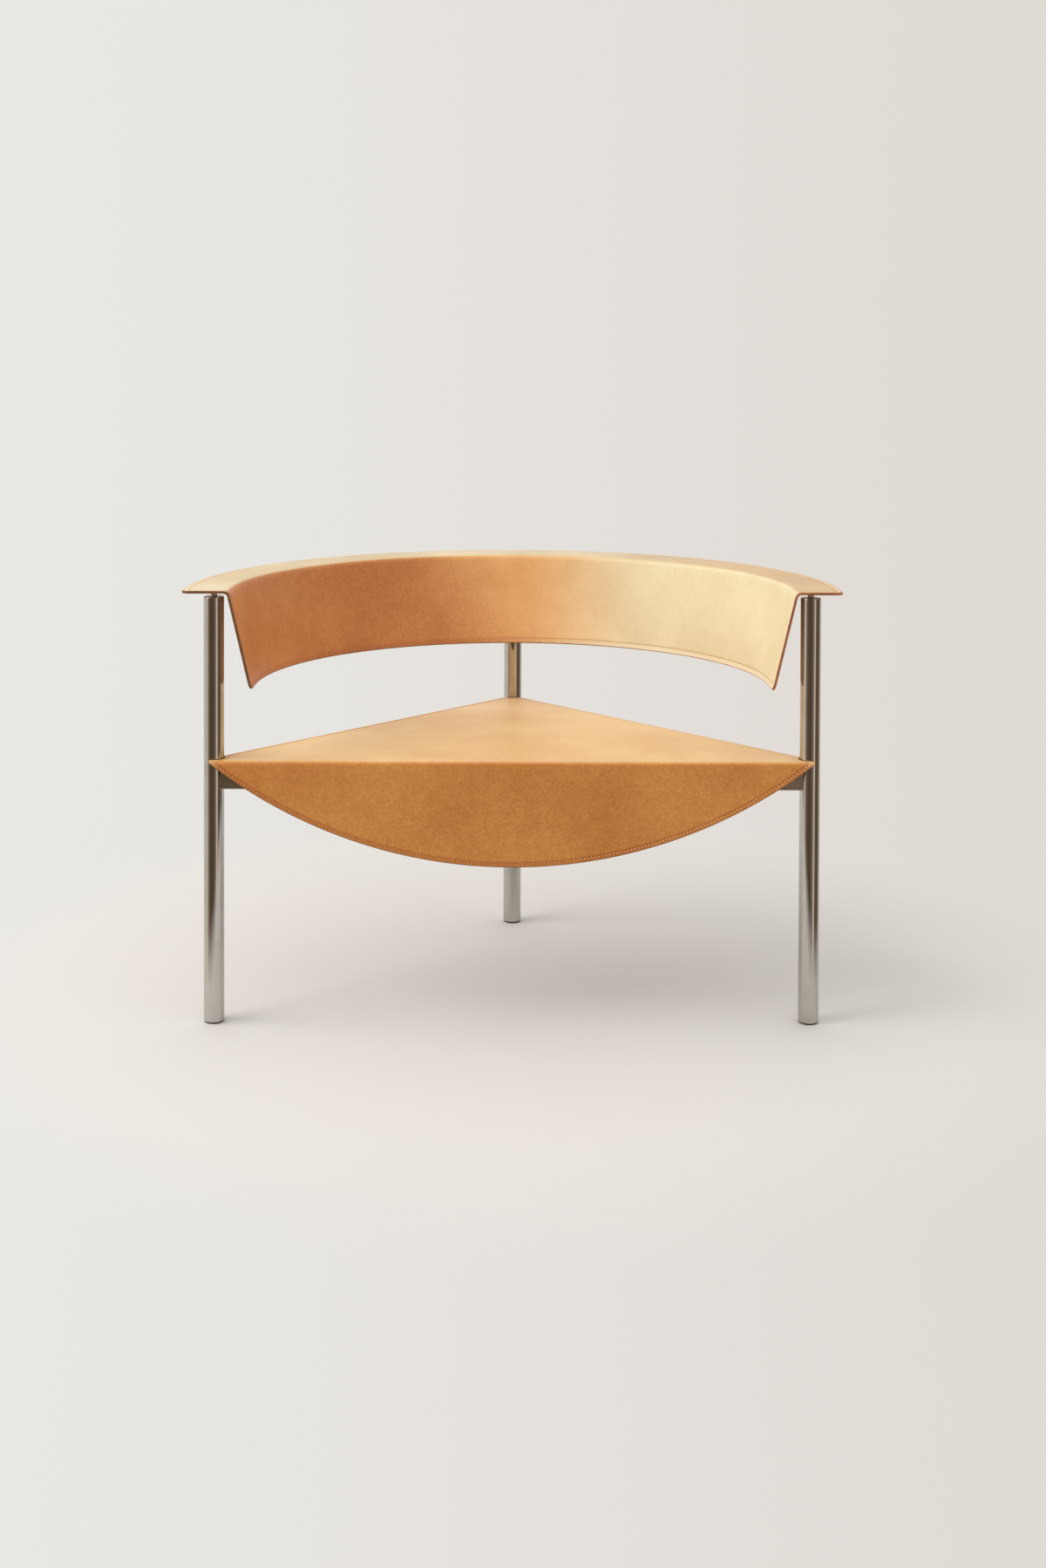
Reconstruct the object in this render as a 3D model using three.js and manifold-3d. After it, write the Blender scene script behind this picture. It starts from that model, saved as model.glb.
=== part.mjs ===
// Three-legged lounge armchair in polished steel tube and saddle leather.
//
// Three upright legs carry a triangular seat on a T-shaped pair of bars. The seat's
// leather folds down over the front as a half-moon apron. A bent band stands on a
// short collar above each leg: its flat rim makes the armrests and the top of the
// back, and its inner skirt leans in towards the sitter.
//
// Millimetres, +Z up, +Y towards the back, +X towards the sitter's left hand.
// Left and right in the names are the sitter's. Every size below is written with the
// line through the two front legs at Y = 0, and the finished group is moved so that
// the middle of its footprint lies on the origin.

import * as THREE from 'three';
import { mergeVertices } from 'three/addons/utils/BufferGeometryUtils.js';
import Module from 'manifold-3d';

// Driving dimensions: fits
const JOINT_GAP = 0.3; // bond line or weld gap between pieces that are joined
const BORE_CLEARANCE = 0.3; // round a stud or screw in its hole
const CUT_OVERRUN = 6; // how far a cutting body runs past what it cuts

// Driving dimensions: legs
const LEG_DIAMETER = 30;
const LEG_WALL = 2;
const LEG_CHAMFER = 0.5;
const FRONT_LEG_SPACING = 872; // between the axes of the two front legs
const REAR_LEG_OFFSET = 6; // the rear leg stands this far outside the half circle of the front ones
const PLUG_LENGTH = 22;
const GLIDE_DIAMETER = 28;
const GLIDE_HEIGHT = 2;
const GLIDE_CHAMFER = 0.8;
const GLIDE_STEM_LENGTH = 16;

// Driving dimensions: bars under the seat
const BAR_WIDTH = 20;
const BAR_HEIGHT = 40;
const BAR_WALL = 2;
const BAR_CORNER_RADIUS = 1.5;

// Driving dimensions: leather and the steel sheet inside it
const FACE_LEATHER = 1.3;
const LINING_LEATHER = 0.9;
const SEAT_CORE = 1.5;
const BACK_CORE = 1.2;
const CORE_MARGIN = 7; // from the leather's cut edge to the steel's edge

// Driving dimensions: seat
const SEAT_TOP = 388.2; // height of the sitting surface
const SEAT_FOLD_INSIDE_RADIUS = 1.2; // over the front, on the lining
const SEAT_REAR_WIDTH = 32; // blunt end that meets the rear leg
const SEAT_LEG_CLEARANCE = 1.2; // between a front leg and the notch round it
const APRON_CLEARANCE = 4.2; // between the front legs and the back of the apron
const APRON_DROP = 154.5; // from the sitting surface to the apron's lowest point
const APRON_TIP_OVERHANG = 8.5; // of the apron's pointed ends, past the front legs' axes

// Driving dimensions: back and armrest band
const BACK_TOP = 634; // height of the flat rim
const ARM_FRONT_OVERHANG = 12; // the arms end this far in front of the front legs' line
const ARM_STRAIGHT = 24; // the arms run straight this far behind that line, then curve
const RIM_OVERHANG = 46; // outer edge of the rim, past the legs' half circle
const RIM_CORNER_RADIUS = 10; // outer corner at the front of each arm
const BEND_INSET = 15.2; // of the line that the bend is rolled round, inside the half circle
const BEND_INSIDE_RADIUS = 6; // on the lining
const SKIRT_LENGTH = 140.2; // flat part of the skirt, below the bend
const SKIRT_LEAN = THREE.MathUtils.degToRad(13.3); // from upright
const SKIRT_CORNER_RADIUS = 13; // lower corner at the front of each arm

// Driving dimensions: fastenings
const COLLAR_DIAMETER = 9.5;
const COLLAR_SPACE = 5.5; // between a leg's top and the band
const STUD_DIAMETER = 6;
const STUD_REACH = 18; // into the plug
const SCREW_DIAMETER = 6;
const SCREW_HEAD_DIAMETER = 11;
const SCREW_HEAD_HEIGHT = 3.3;
const SCREW_SOCKET_WIDTH = 4; // across flats
const SCREW_SOCKET_DEPTH = 2;
const NUT_WIDTH = 10; // across flats
const NUT_HEIGHT = 5;
const NUT_CLEARANCE = 1; // round the nut in the lining and the bar
const CROSSBAR_SCREW_SHARE = 0.55; // spacing of its two screws, of the front legs' spacing
const SPINE_SCREW_SHARES = [0.32, 0.71]; // of the way back to the rear leg

// Fineness of the round stretches, as counts
const LEG_SIDES = 40;
const SMALL_SIDES = 16;
const HEX_SIDES = 6;
const FOLD_STEPS = 6;
const BEND_STEPS = 5;
const BAND_STEPS = 44;
const APRON_STEPS = 48;
const CORNER_STEPS = 4;

// Sizes that follow
const QUARTER_TURN = Math.PI / 2;
const LEG_RADIUS = LEG_DIAMETER / 2;
const LEG_BORE_RADIUS = LEG_RADIUS - LEG_WALL;
const PLUG_RADIUS = LEG_BORE_RADIUS - JOINT_GAP;
const FRONT_LEG_X = FRONT_LEG_SPACING / 2;
const REAR_LEG_Y = ARM_STRAIGHT + FRONT_LEG_X + REAR_LEG_OFFSET;
const RIM_RADIUS = FRONT_LEG_X + RIM_OVERHANG;
const BEND_CENTRE_RADIUS = FRONT_LEG_X - BEND_INSET;
const SEAT_THICKNESS = FACE_LEATHER + SEAT_CORE + LINING_LEATHER + 2 * JOINT_GAP;
const BACK_THICKNESS = FACE_LEATHER + BACK_CORE + LINING_LEATHER + 2 * JOINT_GAP;
const SEAT_FOLD_RADIUS = SEAT_FOLD_INSIDE_RADIUS + SEAT_THICKNESS; // on the face
const BEND_RADIUS = BEND_INSIDE_RADIUS + BACK_THICKNESS; // on the face
const CORE_DEPTH = FACE_LEATHER + JOINT_GAP; // from the face down to the steel
const RIM_UNDERSIDE = BACK_TOP - BACK_THICKNESS;
const LEG_TOP = RIM_UNDERSIDE - COLLAR_SPACE;
const LEG_BOTTOM = GLIDE_HEIGHT + JOINT_GAP;
const SEAT_UNDERSIDE = SEAT_TOP - SEAT_THICKNESS;
const BAR_TOP = SEAT_UNDERSIDE - JOINT_GAP;
const BAR_BOTTOM = BAR_TOP - BAR_HEIGHT;
const APRON_FRONT = -(LEG_RADIUS + APRON_CLEARANCE + SEAT_THICKNESS);
const APRON_BOTTOM = SEAT_TOP - APRON_DROP;
const APRON_TIP_X = FRONT_LEG_X + APRON_TIP_OVERHANG;
const APRON_RADIUS = (APRON_TIP_X ** 2 + APRON_DROP ** 2) / (2 * APRON_DROP);
const SEAT_REAR = REAR_LEG_Y - LEG_RADIUS - JOINT_GAP;
const CHAIR_REAR = ARM_STRAIGHT + RIM_RADIUS;
const STUD_BORE_RADIUS = STUD_DIAMETER / 2 + BORE_CLEARANCE;
const SCREW_BORE_RADIUS = SCREW_DIAMETER / 2 + BORE_CLEARANCE;
const NUT_CORNER_RADIUS = NUT_WIDTH / 2 / Math.cos(Math.PI / HEX_SIDES);
const NUT_HOLE_RADIUS = NUT_CORNER_RADIUS + NUT_CLEARANCE;
const NUT_TOP = SEAT_TOP - CORE_DEPTH - SEAT_CORE - JOINT_GAP;

const LEG_PLACES = {
  front_left: new THREE.Vector2(FRONT_LEG_X, 0),
  front_right: new THREE.Vector2(-FRONT_LEG_X, 0),
  rear: new THREE.Vector2(0, REAR_LEG_Y),
};
const SCREW_PLACES = {
  left: new THREE.Vector2(FRONT_LEG_X * CROSSBAR_SCREW_SHARE, 0),
  right: new THREE.Vector2(-FRONT_LEG_X * CROSSBAR_SCREW_SHARE, 0),
  middle: new THREE.Vector2(0, REAR_LEG_Y * SPINE_SCREW_SHARES[0]),
  rear: new THREE.Vector2(0, REAR_LEG_Y * SPINE_SCREW_SHARES[1]),
};

// Materials
const material = (color, roughness, metalness) =>
  new THREE.MeshStandardMaterial({ color, roughness, metalness });
const POLISHED_STEEL = material(0xd3d0cb, 0.12, 1);
const BLACK_STEEL = material(0x55524d, 0.45, 1);
const ZINC_STEEL = material(0xa7a9aa, 0.4, 1);
const GLIDE_PLASTIC = material(0x1d1b19, 0.6, 0);
const SADDLE_LEATHER = material(0xc98a4f, 0.5, 0);
const LINING_HIDE = material(0xc9965f, 0.7, 0);

// Solids: joining and cutting
const wasm = await Module();
wasm.setup();

const AXIS_X = new THREE.Vector3(1, 0, 0);
const AXIS_Y = new THREE.Vector3(0, 1, 0);
const AXIS_Z = new THREE.Vector3(0, 0, 1);

function solid(geometry) {
  const bare = geometry.clone();
  bare.deleteAttribute('normal');
  bare.deleteAttribute('uv');
  const welded = mergeVertices(bare);
  const corners = [];
  const index = welded.index.array;
  for (let i = 0; i < index.length; i += 3) {
    const [a, b, c] = [index[i], index[i + 1], index[i + 2]];
    if (a !== b && b !== c && c !== a) corners.push(a, b, c);
  }
  const mesh = new wasm.Mesh({
    numProp: 3,
    vertProperties: new Float32Array(welded.attributes.position.array),
    triVerts: new Uint32Array(corners),
  });
  return new wasm.Manifold(mesh);
}

function geometryOf(body) {
  const mesh = body.getMesh();
  const geometry = new THREE.BufferGeometry();
  geometry.setAttribute('position', new THREE.BufferAttribute(mesh.vertProperties, 3));
  geometry.setIndex(new THREE.BufferAttribute(mesh.triVerts, 1));
  return geometry;
}

const without = (body, ...cutters) =>
  cutters.reduce((rest, cutter) => rest.subtract(cutter), body);

// A flat outline drawn in (x, y) and drawn out along +Z from base to top
function prism(shape, base, top, curveSegments = CORNER_STEPS) {
  const depth = top - base;
  const geometry = new THREE.ExtrudeGeometry(shape, { depth, bevelEnabled: false, curveSegments });
  return geometry.translate(0, 0, base);
}

// The same, for an outline drawn in (y, z) and drawn out along X
function prismAlongX(shape, start, end, curveSegments) {
  const turn = new THREE.Matrix4().makeBasis(AXIS_Y, AXIS_Z, AXIS_X);
  return prism(shape, start, end, curveSegments).applyMatrix4(turn);
}

// The same, for an outline drawn in (x, z) and drawn out along Y
function prismAlongY(shape, start, end, curveSegments) {
  const turn = new THREE.Matrix4().makeBasis(AXIS_X, AXIS_Z, AXIS_Y.clone().negate());
  return prism(shape, -end, -start, curveSegments).applyMatrix4(turn);
}

// A turned piece round an upright axis, from (radius, height) points going up its outside
function turned(profile, sides, place) {
  const points = profile.map(([radius, height]) => new THREE.Vector2(radius, height));
  const geometry = new THREE.LatheGeometry(points, sides);
  return geometry.rotateX(QUARTER_TURN).translate(place.x, place.y, 0);
}

function peg(radius, base, top, place, sides = SMALL_SIDES) {
  return turned([[0, base], [radius, base], [radius, top], [0, top]], sides, place);
}

function pipe(outer, inner, base, top, place, sides = SMALL_SIDES) {
  return turned(
    [[outer, base], [outer, top], [inner, top], [inner, base], [outer, base]], sides, place);
}

// A six-sided prism, and its outline
function hexagon(width) {
  const radius = width / 2 / Math.cos(Math.PI / HEX_SIDES);
  const corners = [];
  for (let corner = 0; corner < HEX_SIDES; corner++) {
    const angle = (corner * 2 * Math.PI) / HEX_SIDES;
    corners.push(new THREE.Vector2(radius * Math.cos(angle), radius * Math.sin(angle)));
  }
  return new THREE.Shape(corners);
}

const hexPeg = (width, base, top, place) =>
  prism(hexagon(width), base, top).translate(place.x, place.y, 0);

// Assembly
const chair = new THREE.Group();

function add(name, geometry, finish) {
  const mesh = new THREE.Mesh(geometry, finish);
  mesh.name = name;
  chair.add(mesh);
}

// Legs: a tube with a chamfered rim, a bored plug at the top and a glide at the foot
function legTube(place) {
  const edge = LEG_RADIUS - LEG_CHAMFER;
  return turned([
    [LEG_BORE_RADIUS, LEG_BOTTOM],
    [edge, LEG_BOTTOM],
    [LEG_RADIUS, LEG_BOTTOM + LEG_CHAMFER],
    [LEG_RADIUS, LEG_TOP - LEG_CHAMFER],
    [edge, LEG_TOP],
    [LEG_BORE_RADIUS, LEG_TOP],
    [LEG_BORE_RADIUS, LEG_BOTTOM],
  ], LEG_SIDES, place);
}

function footGlide(place) {
  const headRadius = GLIDE_DIAMETER / 2;
  return turned([
    [0, 0],
    [headRadius - GLIDE_CHAMFER, 0],
    [headRadius, GLIDE_CHAMFER],
    [headRadius, GLIDE_HEIGHT],
    [PLUG_RADIUS, GLIDE_HEIGHT],
    [PLUG_RADIUS, GLIDE_HEIGHT + GLIDE_STEM_LENGTH],
    [0, GLIDE_HEIGHT + GLIDE_STEM_LENGTH],
  ], LEG_SIDES, place);
}

// Above each leg: a stud that hangs from the band's steel, and the collar round it
function bandStud(place) {
  const top = BACK_TOP - CORE_DEPTH - BACK_CORE - JOINT_GAP;
  return peg(STUD_DIAMETER / 2, LEG_TOP - STUD_REACH, top, place);
}

function bandCollar(place) {
  const [base, top] = [LEG_TOP + JOINT_GAP, RIM_UNDERSIDE - JOINT_GAP];
  return pipe(COLLAR_DIAMETER / 2, STUD_BORE_RADIUS, base, top, place);
}

for (const [side, place] of Object.entries(LEG_PLACES)) {
  const plug = pipe(PLUG_RADIUS, STUD_BORE_RADIUS, LEG_TOP - PLUG_LENGTH, LEG_TOP, place);
  add(`leg_${side}`, legTube(place), POLISHED_STEEL);
  add(`leg_plug_${side}`, plug, POLISHED_STEEL);
  add(`foot_glide_${side}`, footGlide(place), GLIDE_PLASTIC);
  add(`band_stud_${side}`, bandStud(place), ZINC_STEEL);
  add(`band_collar_${side}`, bandCollar(place), POLISHED_STEEL);
}

// Bars: two lengths of box section, cut to the round of the legs that they are welded to
function roundedBox(halfWidth, halfHeight, radius) {
  const outline = new THREE.Shape();
  outline.absarc(halfWidth - radius, halfHeight - radius, radius, 0, QUARTER_TURN);
  outline.absarc(radius - halfWidth, halfHeight - radius, radius, QUARTER_TURN, Math.PI);
  outline.absarc(radius - halfWidth, radius - halfHeight, radius, Math.PI, Math.PI + QUARTER_TURN);
  outline.absarc(halfWidth - radius, radius - halfHeight, radius, -QUARTER_TURN, 0);
  return outline;
}

function boxSection() {
  const section = roundedBox(BAR_WIDTH / 2, BAR_HEIGHT / 2, BAR_CORNER_RADIUS);
  const inside = new THREE.Shape([
    new THREE.Vector2(BAR_WALL - BAR_WIDTH / 2, BAR_WALL - BAR_HEIGHT / 2),
    new THREE.Vector2(BAR_WIDTH / 2 - BAR_WALL, BAR_WALL - BAR_HEIGHT / 2),
    new THREE.Vector2(BAR_WIDTH / 2 - BAR_WALL, BAR_HEIGHT / 2 - BAR_WALL),
    new THREE.Vector2(BAR_WALL - BAR_WIDTH / 2, BAR_HEIGHT / 2 - BAR_WALL),
  ]);
  section.holes.push(inside);
  return section;
}

const legSocket = (place) =>
  solid(peg(LEG_RADIUS + JOINT_GAP, BAR_BOTTOM - CUT_OVERRUN, BAR_TOP + CUT_OVERRUN, place, LEG_SIDES));

// A narrow hole through the bar's floor for the screw, a wide one in its roof for the nut
function screwHoles(place) {
  const middle = BAR_BOTTOM + BAR_HEIGHT / 2;
  return [
    solid(peg(SCREW_BORE_RADIUS, BAR_BOTTOM - CUT_OVERRUN, middle, place)),
    solid(peg(NUT_HOLE_RADIUS, middle, BAR_TOP + CUT_OVERRUN, place)),
  ];
}

function crossbar() {
  const level = BAR_BOTTOM + BAR_HEIGHT / 2;
  const bar = prismAlongX(boxSection(), -FRONT_LEG_X, FRONT_LEG_X).translate(0, 0, level);
  const { front_left, front_right } = LEG_PLACES;
  const holes = [...screwHoles(SCREW_PLACES.left), ...screwHoles(SCREW_PLACES.right)];
  return without(solid(bar), legSocket(front_left), legSocket(front_right), ...holes);
}

function spine() {
  const level = BAR_BOTTOM + BAR_HEIGHT / 2;
  const start = BAR_WIDTH / 2 + JOINT_GAP;
  const bar = prismAlongY(boxSection(), start, REAR_LEG_Y).translate(0, 0, level);
  const holes = [...screwHoles(SCREW_PLACES.middle), ...screwHoles(SCREW_PLACES.rear)];
  return without(solid(bar), legSocket(LEG_PLACES.rear), ...holes);
}

add('crossbar_front', geometryOf(crossbar()), BLACK_STEEL);
add('spine_bar', geometryOf(spine()), BLACK_STEEL);

// Seat fastenings: a nut welded under the seat's steel, a socket screw up through the bar
function weldNut(place) {
  const body = solid(hexPeg(NUT_WIDTH, NUT_TOP - NUT_HEIGHT, NUT_TOP, place));
  const bore = peg(SCREW_BORE_RADIUS, NUT_TOP - NUT_HEIGHT - CUT_OVERRUN, NUT_TOP + CUT_OVERRUN, place);
  return without(body, solid(bore));
}

function seatScrew(place) {
  const headTop = BAR_BOTTOM - JOINT_GAP;
  const headBottom = headTop - SCREW_HEAD_HEIGHT;
  const headRadius = SCREW_HEAD_DIAMETER / 2;
  const body = turned([
    [0, headBottom],
    [headRadius - SCREW_HEAD_HEIGHT / 2, headBottom],
    [headRadius, headTop - SCREW_HEAD_HEIGHT / 2],
    [headRadius, headTop],
    [SCREW_DIAMETER / 2, headTop],
    [SCREW_DIAMETER / 2, NUT_TOP],
    [0, NUT_TOP],
  ], SMALL_SIDES, place);
  const socketTop = headBottom + SCREW_SOCKET_DEPTH;
  const socket = hexPeg(SCREW_SOCKET_WIDTH, headBottom - CUT_OVERRUN, socketTop, place);
  return without(solid(body), solid(socket));
}

for (const [side, place] of Object.entries(SCREW_PLACES)) {
  add(`seat_nut_${side}`, geometryOf(weldNut(place)), ZINC_STEEL);
  add(`seat_screw_${side}`, geometryOf(seatScrew(place)), ZINC_STEEL);
}

// Seat: one folded sheet, cut to the plan of the seat and to the arc of the apron

// The plan, drawn in from its cut edge by an inset: a blunt end at the rear leg and two
// straight sides, each on the line through a front leg's axis
function seatPlan(inset) {
  const front = new THREE.Vector2(FRONT_LEG_X, 0);
  const rear = new THREE.Vector2(SEAT_REAR_WIDTH / 2, SEAT_REAR);
  const along = rear.clone().sub(front).normalize();
  const inward = new THREE.Vector2(-along.y, along.x);
  const start = front.clone().addScaledVector(inward, inset);
  const sideAt = (y) => start.clone().addScaledVector(along, (y - start.y) / along.y);
  const side = [sideAt(APRON_FRONT - CUT_OVERRUN), sideAt(SEAT_REAR - inset)];
  const otherSide = side.map((point) => new THREE.Vector2(-point.x, point.y)).reverse();
  return new THREE.Shape([...side, ...otherSide]);
}

// The front view: everything above the arc of the apron's lower edge
function apronOutline(inset) {
  const centre = APRON_BOTTOM + APRON_RADIUS;
  const radius = APRON_RADIUS - inset;
  const reach = Math.acos((centre - SEAT_TOP - CUT_OVERRUN) / radius);
  const outline = new THREE.Shape();
  outline.absarc(0, centre, radius, -QUARTER_TURN - reach, -QUARTER_TURN + reach);
  return outline;
}

// The side view of the sheet between two depths below its face: seat, fold and apron
function foldedSection(from, to) {
  const [foldY, foldZ] = [APRON_FRONT + SEAT_FOLD_RADIUS, SEAT_TOP - SEAT_FOLD_RADIUS];
  const rear = REAR_LEG_Y;
  const bottom = APRON_BOTTOM - CUT_OVERRUN;
  const section = new THREE.Shape();
  section.moveTo(rear, SEAT_TOP - from);
  section.absarc(foldY, foldZ, SEAT_FOLD_RADIUS - from, QUARTER_TURN, Math.PI);
  section.lineTo(APRON_FRONT + from, bottom);
  section.lineTo(APRON_FRONT + to, bottom);
  section.absarc(foldY, foldZ, SEAT_FOLD_RADIUS - to, Math.PI, QUARTER_TURN, true);
  section.lineTo(rear, SEAT_TOP - to);
  return section;
}

function seatSheet(from, to, inset) {
  const halfWidth = FRONT_LEG_X + LEG_DIAMETER;
  const sheet = solid(prismAlongX(foldedSection(from, to), -halfWidth, halfWidth, FOLD_STEPS));
  const [low, high] = [APRON_BOTTOM - 2 * CUT_OVERRUN, SEAT_TOP + CUT_OVERRUN];
  const plan = solid(prism(seatPlan(inset), low, high));
  const view = solid(prismAlongY(
    apronOutline(inset), APRON_FRONT - CUT_OVERRUN, REAR_LEG_Y, APRON_STEPS));
  const notchRadius = LEG_RADIUS + SEAT_LEG_CLEARANCE + inset;
  const notchBottom = SEAT_TOP - SEAT_FOLD_RADIUS;
  const notches = [LEG_PLACES.front_left, LEG_PLACES.front_right].map((place) =>
    solid(peg(notchRadius, notchBottom, high, place, LEG_SIDES)));
  return without(sheet.intersect(plan).intersect(view), ...notches);
}

// The lining is the full sheet with a pocket for the steel and a hole round each nut
function seatLining() {
  const whole = seatSheet(CORE_DEPTH, SEAT_THICKNESS, 0);
  const pocket = seatSheet(0, CORE_DEPTH + SEAT_CORE + JOINT_GAP, CORE_MARGIN - JOINT_GAP);
  const holes = Object.values(SCREW_PLACES).map((place) =>
    solid(peg(NUT_HOLE_RADIUS, SEAT_UNDERSIDE - CUT_OVERRUN, NUT_TOP + CUT_OVERRUN, place)));
  return without(whole, pocket, ...holes);
}

add('seat_leather_face', geometryOf(seatSheet(0, FACE_LEATHER, 0)), SADDLE_LEATHER);
add('seat_core_plate',
  geometryOf(seatSheet(CORE_DEPTH, CORE_DEPTH + SEAT_CORE, CORE_MARGIN)), BLACK_STEEL);
add('seat_leather_lining', geometryOf(seatLining()), LINING_HIDE);

// Back: one bent section carried round the half circle and out along both arms

// The section between two depths below its face, in (distance outwards, height)
function bandSection(from, to, inset) {
  const bendHeight = BACK_TOP - BEND_RADIUS;
  const skirtStart = Math.PI - SKIRT_LEAN;
  const skirt = SKIRT_LENGTH - inset;
  const line = (depth) => {
    const points = [new THREE.Vector2(RIM_RADIUS - inset, BACK_TOP - depth)];
    for (let step = 0; step <= BEND_STEPS; step++) {
      const angle = THREE.MathUtils.lerp(QUARTER_TURN, skirtStart, step / BEND_STEPS);
      const reach = BEND_RADIUS - depth;
      points.push(new THREE.Vector2(
        BEND_CENTRE_RADIUS + reach * Math.cos(angle), bendHeight + reach * Math.sin(angle)));
    }
    const last = points[points.length - 1];
    points.push(new THREE.Vector2(
      last.x - skirt * Math.sin(SKIRT_LEAN), last.y - skirt * Math.cos(SKIRT_LEAN)));
    return points;
  };
  return [...line(from), ...line(to).reverse()];
}

// Where the section stands: a point on the centre line and the direction outwards
function bandStations(inset) {
  const armEnd = inset - ARM_FRONT_OVERHANG;
  const stations = [{ y: armEnd, out: new THREE.Vector2(1, 0) }];
  for (let step = 0; step <= BAND_STEPS; step++) {
    const angle = (step * Math.PI) / BAND_STEPS;
    stations.push({ y: ARM_STRAIGHT, out: new THREE.Vector2(Math.cos(angle), Math.sin(angle)) });
  }
  stations.push({ y: armEnd, out: new THREE.Vector2(-1, 0) });
  return stations;
}

function bandSweep(from, to, inset) {
  const section = bandSection(from, to, inset);
  const stations = bandStations(inset);
  const count = section.length;
  const positions = [];
  for (const { y, out } of stations) {
    for (const point of section) positions.push(point.x * out.x, y + point.x * out.y, point.y);
  }
  const index = [];
  for (let station = 0; station + 1 < stations.length; station++) {
    for (let corner = 0; corner < count; corner++) {
      const next = (corner + 1) % count;
      const [a, b] = [station * count + corner, station * count + next];
      const [c, d] = [a + count, b + count];
      index.push(a, c, b, b, c, d);
    }
  }
  const last = (stations.length - 1) * count;
  for (const [a, b, c] of THREE.ShapeUtils.triangulateShape(section, [])) {
    index.push(a, b, c, last + c, last + b, last + a);
  }
  const geometry = new THREE.BufferGeometry();
  geometry.setAttribute('position', new THREE.Float32BufferAttribute(positions, 3));
  geometry.setIndex(index);
  return geometry;
}

// The plan of the arms' front corners, which are rounded
function bandPlan(inset) {
  const halfWidth = RIM_RADIUS - inset;
  const front = inset - ARM_FRONT_OVERHANG;
  const radius = RIM_CORNER_RADIUS - inset;
  const rear = CHAIR_REAR + CUT_OVERRUN;
  const plan = new THREE.Shape();
  plan.moveTo(halfWidth + CUT_OVERRUN, rear);
  plan.lineTo(-halfWidth - CUT_OVERRUN, rear);
  plan.lineTo(-halfWidth - CUT_OVERRUN, ARM_STRAIGHT);
  plan.lineTo(-halfWidth, ARM_STRAIGHT);
  plan.absarc(radius - halfWidth, front + radius, radius, Math.PI, Math.PI + QUARTER_TURN);
  plan.absarc(halfWidth - radius, front + radius, radius, -QUARTER_TURN, 0);
  plan.lineTo(halfWidth, ARM_STRAIGHT);
  plan.lineTo(halfWidth + CUT_OVERRUN, ARM_STRAIGHT);
  return plan;
}

// What is cut away under the rounded lower corners of the arms, seen from the side
function skirtCorners(to, inset) {
  const front = inset - ARM_FRONT_OVERHANG;
  const radius = SKIRT_CORNER_RADIUS - inset;
  const lowest = Math.min(...bandSection(to, to, inset).map((point) => point.y));
  const shape = new THREE.Shape();
  shape.moveTo(front - CUT_OVERRUN, lowest - CUT_OVERRUN);
  shape.lineTo(front + radius, lowest - CUT_OVERRUN);
  shape.lineTo(front + radius, lowest);
  shape.absarc(front + radius, lowest + radius, radius, -QUARTER_TURN, -Math.PI, true);
  shape.lineTo(front - CUT_OVERRUN, lowest + radius);
  return prismAlongX(shape, -RIM_RADIUS, RIM_RADIUS);
}

function bandSheet(from, to, inset) {
  const high = BACK_TOP + CUT_OVERRUN;
  const low = BACK_TOP - BEND_RADIUS - SKIRT_LENGTH - CUT_OVERRUN;
  const sheet = solid(bandSweep(from, to, inset)).intersect(
    solid(prism(bandPlan(inset), low, high)));
  return without(sheet, solid(skirtCorners(to, inset)));
}

// The lining is the full sheet with a pocket for the steel and a hole for each stud
function bandLining() {
  const whole = bandSheet(CORE_DEPTH, BACK_THICKNESS, 0);
  const pocket = bandSheet(0, CORE_DEPTH + BACK_CORE + JOINT_GAP, CORE_MARGIN - JOINT_GAP);
  const holes = Object.values(LEG_PLACES).map((place) =>
    solid(peg(STUD_BORE_RADIUS, RIM_UNDERSIDE - CUT_OVERRUN, BACK_TOP, place)));
  return without(whole, pocket, ...holes);
}

add('back_leather_face', geometryOf(bandSheet(0, FACE_LEATHER, 0)), SADDLE_LEATHER);
add('back_core_band',
  geometryOf(bandSheet(CORE_DEPTH, CORE_DEPTH + BACK_CORE, CORE_MARGIN)), BLACK_STEEL);
add('back_leather_lining', geometryOf(bandLining()), LINING_HIDE);

// The middle of the footprint comes to the origin
chair.position.y = -(APRON_FRONT + CHAIR_REAR) / 2;

export default chair;
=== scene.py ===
# Looks of the three-legged lounge armchair: its leather sheets with their stitching and
# burnished edges, its polished tubes and its small hardware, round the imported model.

import math

import bpy
import numpy as np
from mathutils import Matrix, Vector, noise
from mathutils.geometry import delaunay_2d_cdt
from mathutils.kdtree import KDTree


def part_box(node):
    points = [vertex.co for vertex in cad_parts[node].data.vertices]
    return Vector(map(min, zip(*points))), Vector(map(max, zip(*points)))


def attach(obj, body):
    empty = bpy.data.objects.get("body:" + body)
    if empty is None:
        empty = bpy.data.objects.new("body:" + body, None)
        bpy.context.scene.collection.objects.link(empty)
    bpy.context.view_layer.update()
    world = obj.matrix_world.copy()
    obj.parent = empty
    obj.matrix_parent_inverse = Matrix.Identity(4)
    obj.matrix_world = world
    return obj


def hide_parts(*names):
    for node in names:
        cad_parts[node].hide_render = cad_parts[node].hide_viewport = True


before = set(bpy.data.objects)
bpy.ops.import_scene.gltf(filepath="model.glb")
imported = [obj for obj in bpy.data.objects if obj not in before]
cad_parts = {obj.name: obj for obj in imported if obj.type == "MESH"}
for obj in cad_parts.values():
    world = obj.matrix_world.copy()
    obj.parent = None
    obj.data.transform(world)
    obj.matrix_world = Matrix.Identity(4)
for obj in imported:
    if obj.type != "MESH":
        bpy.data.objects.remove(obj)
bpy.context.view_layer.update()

MM = 0.001
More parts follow.
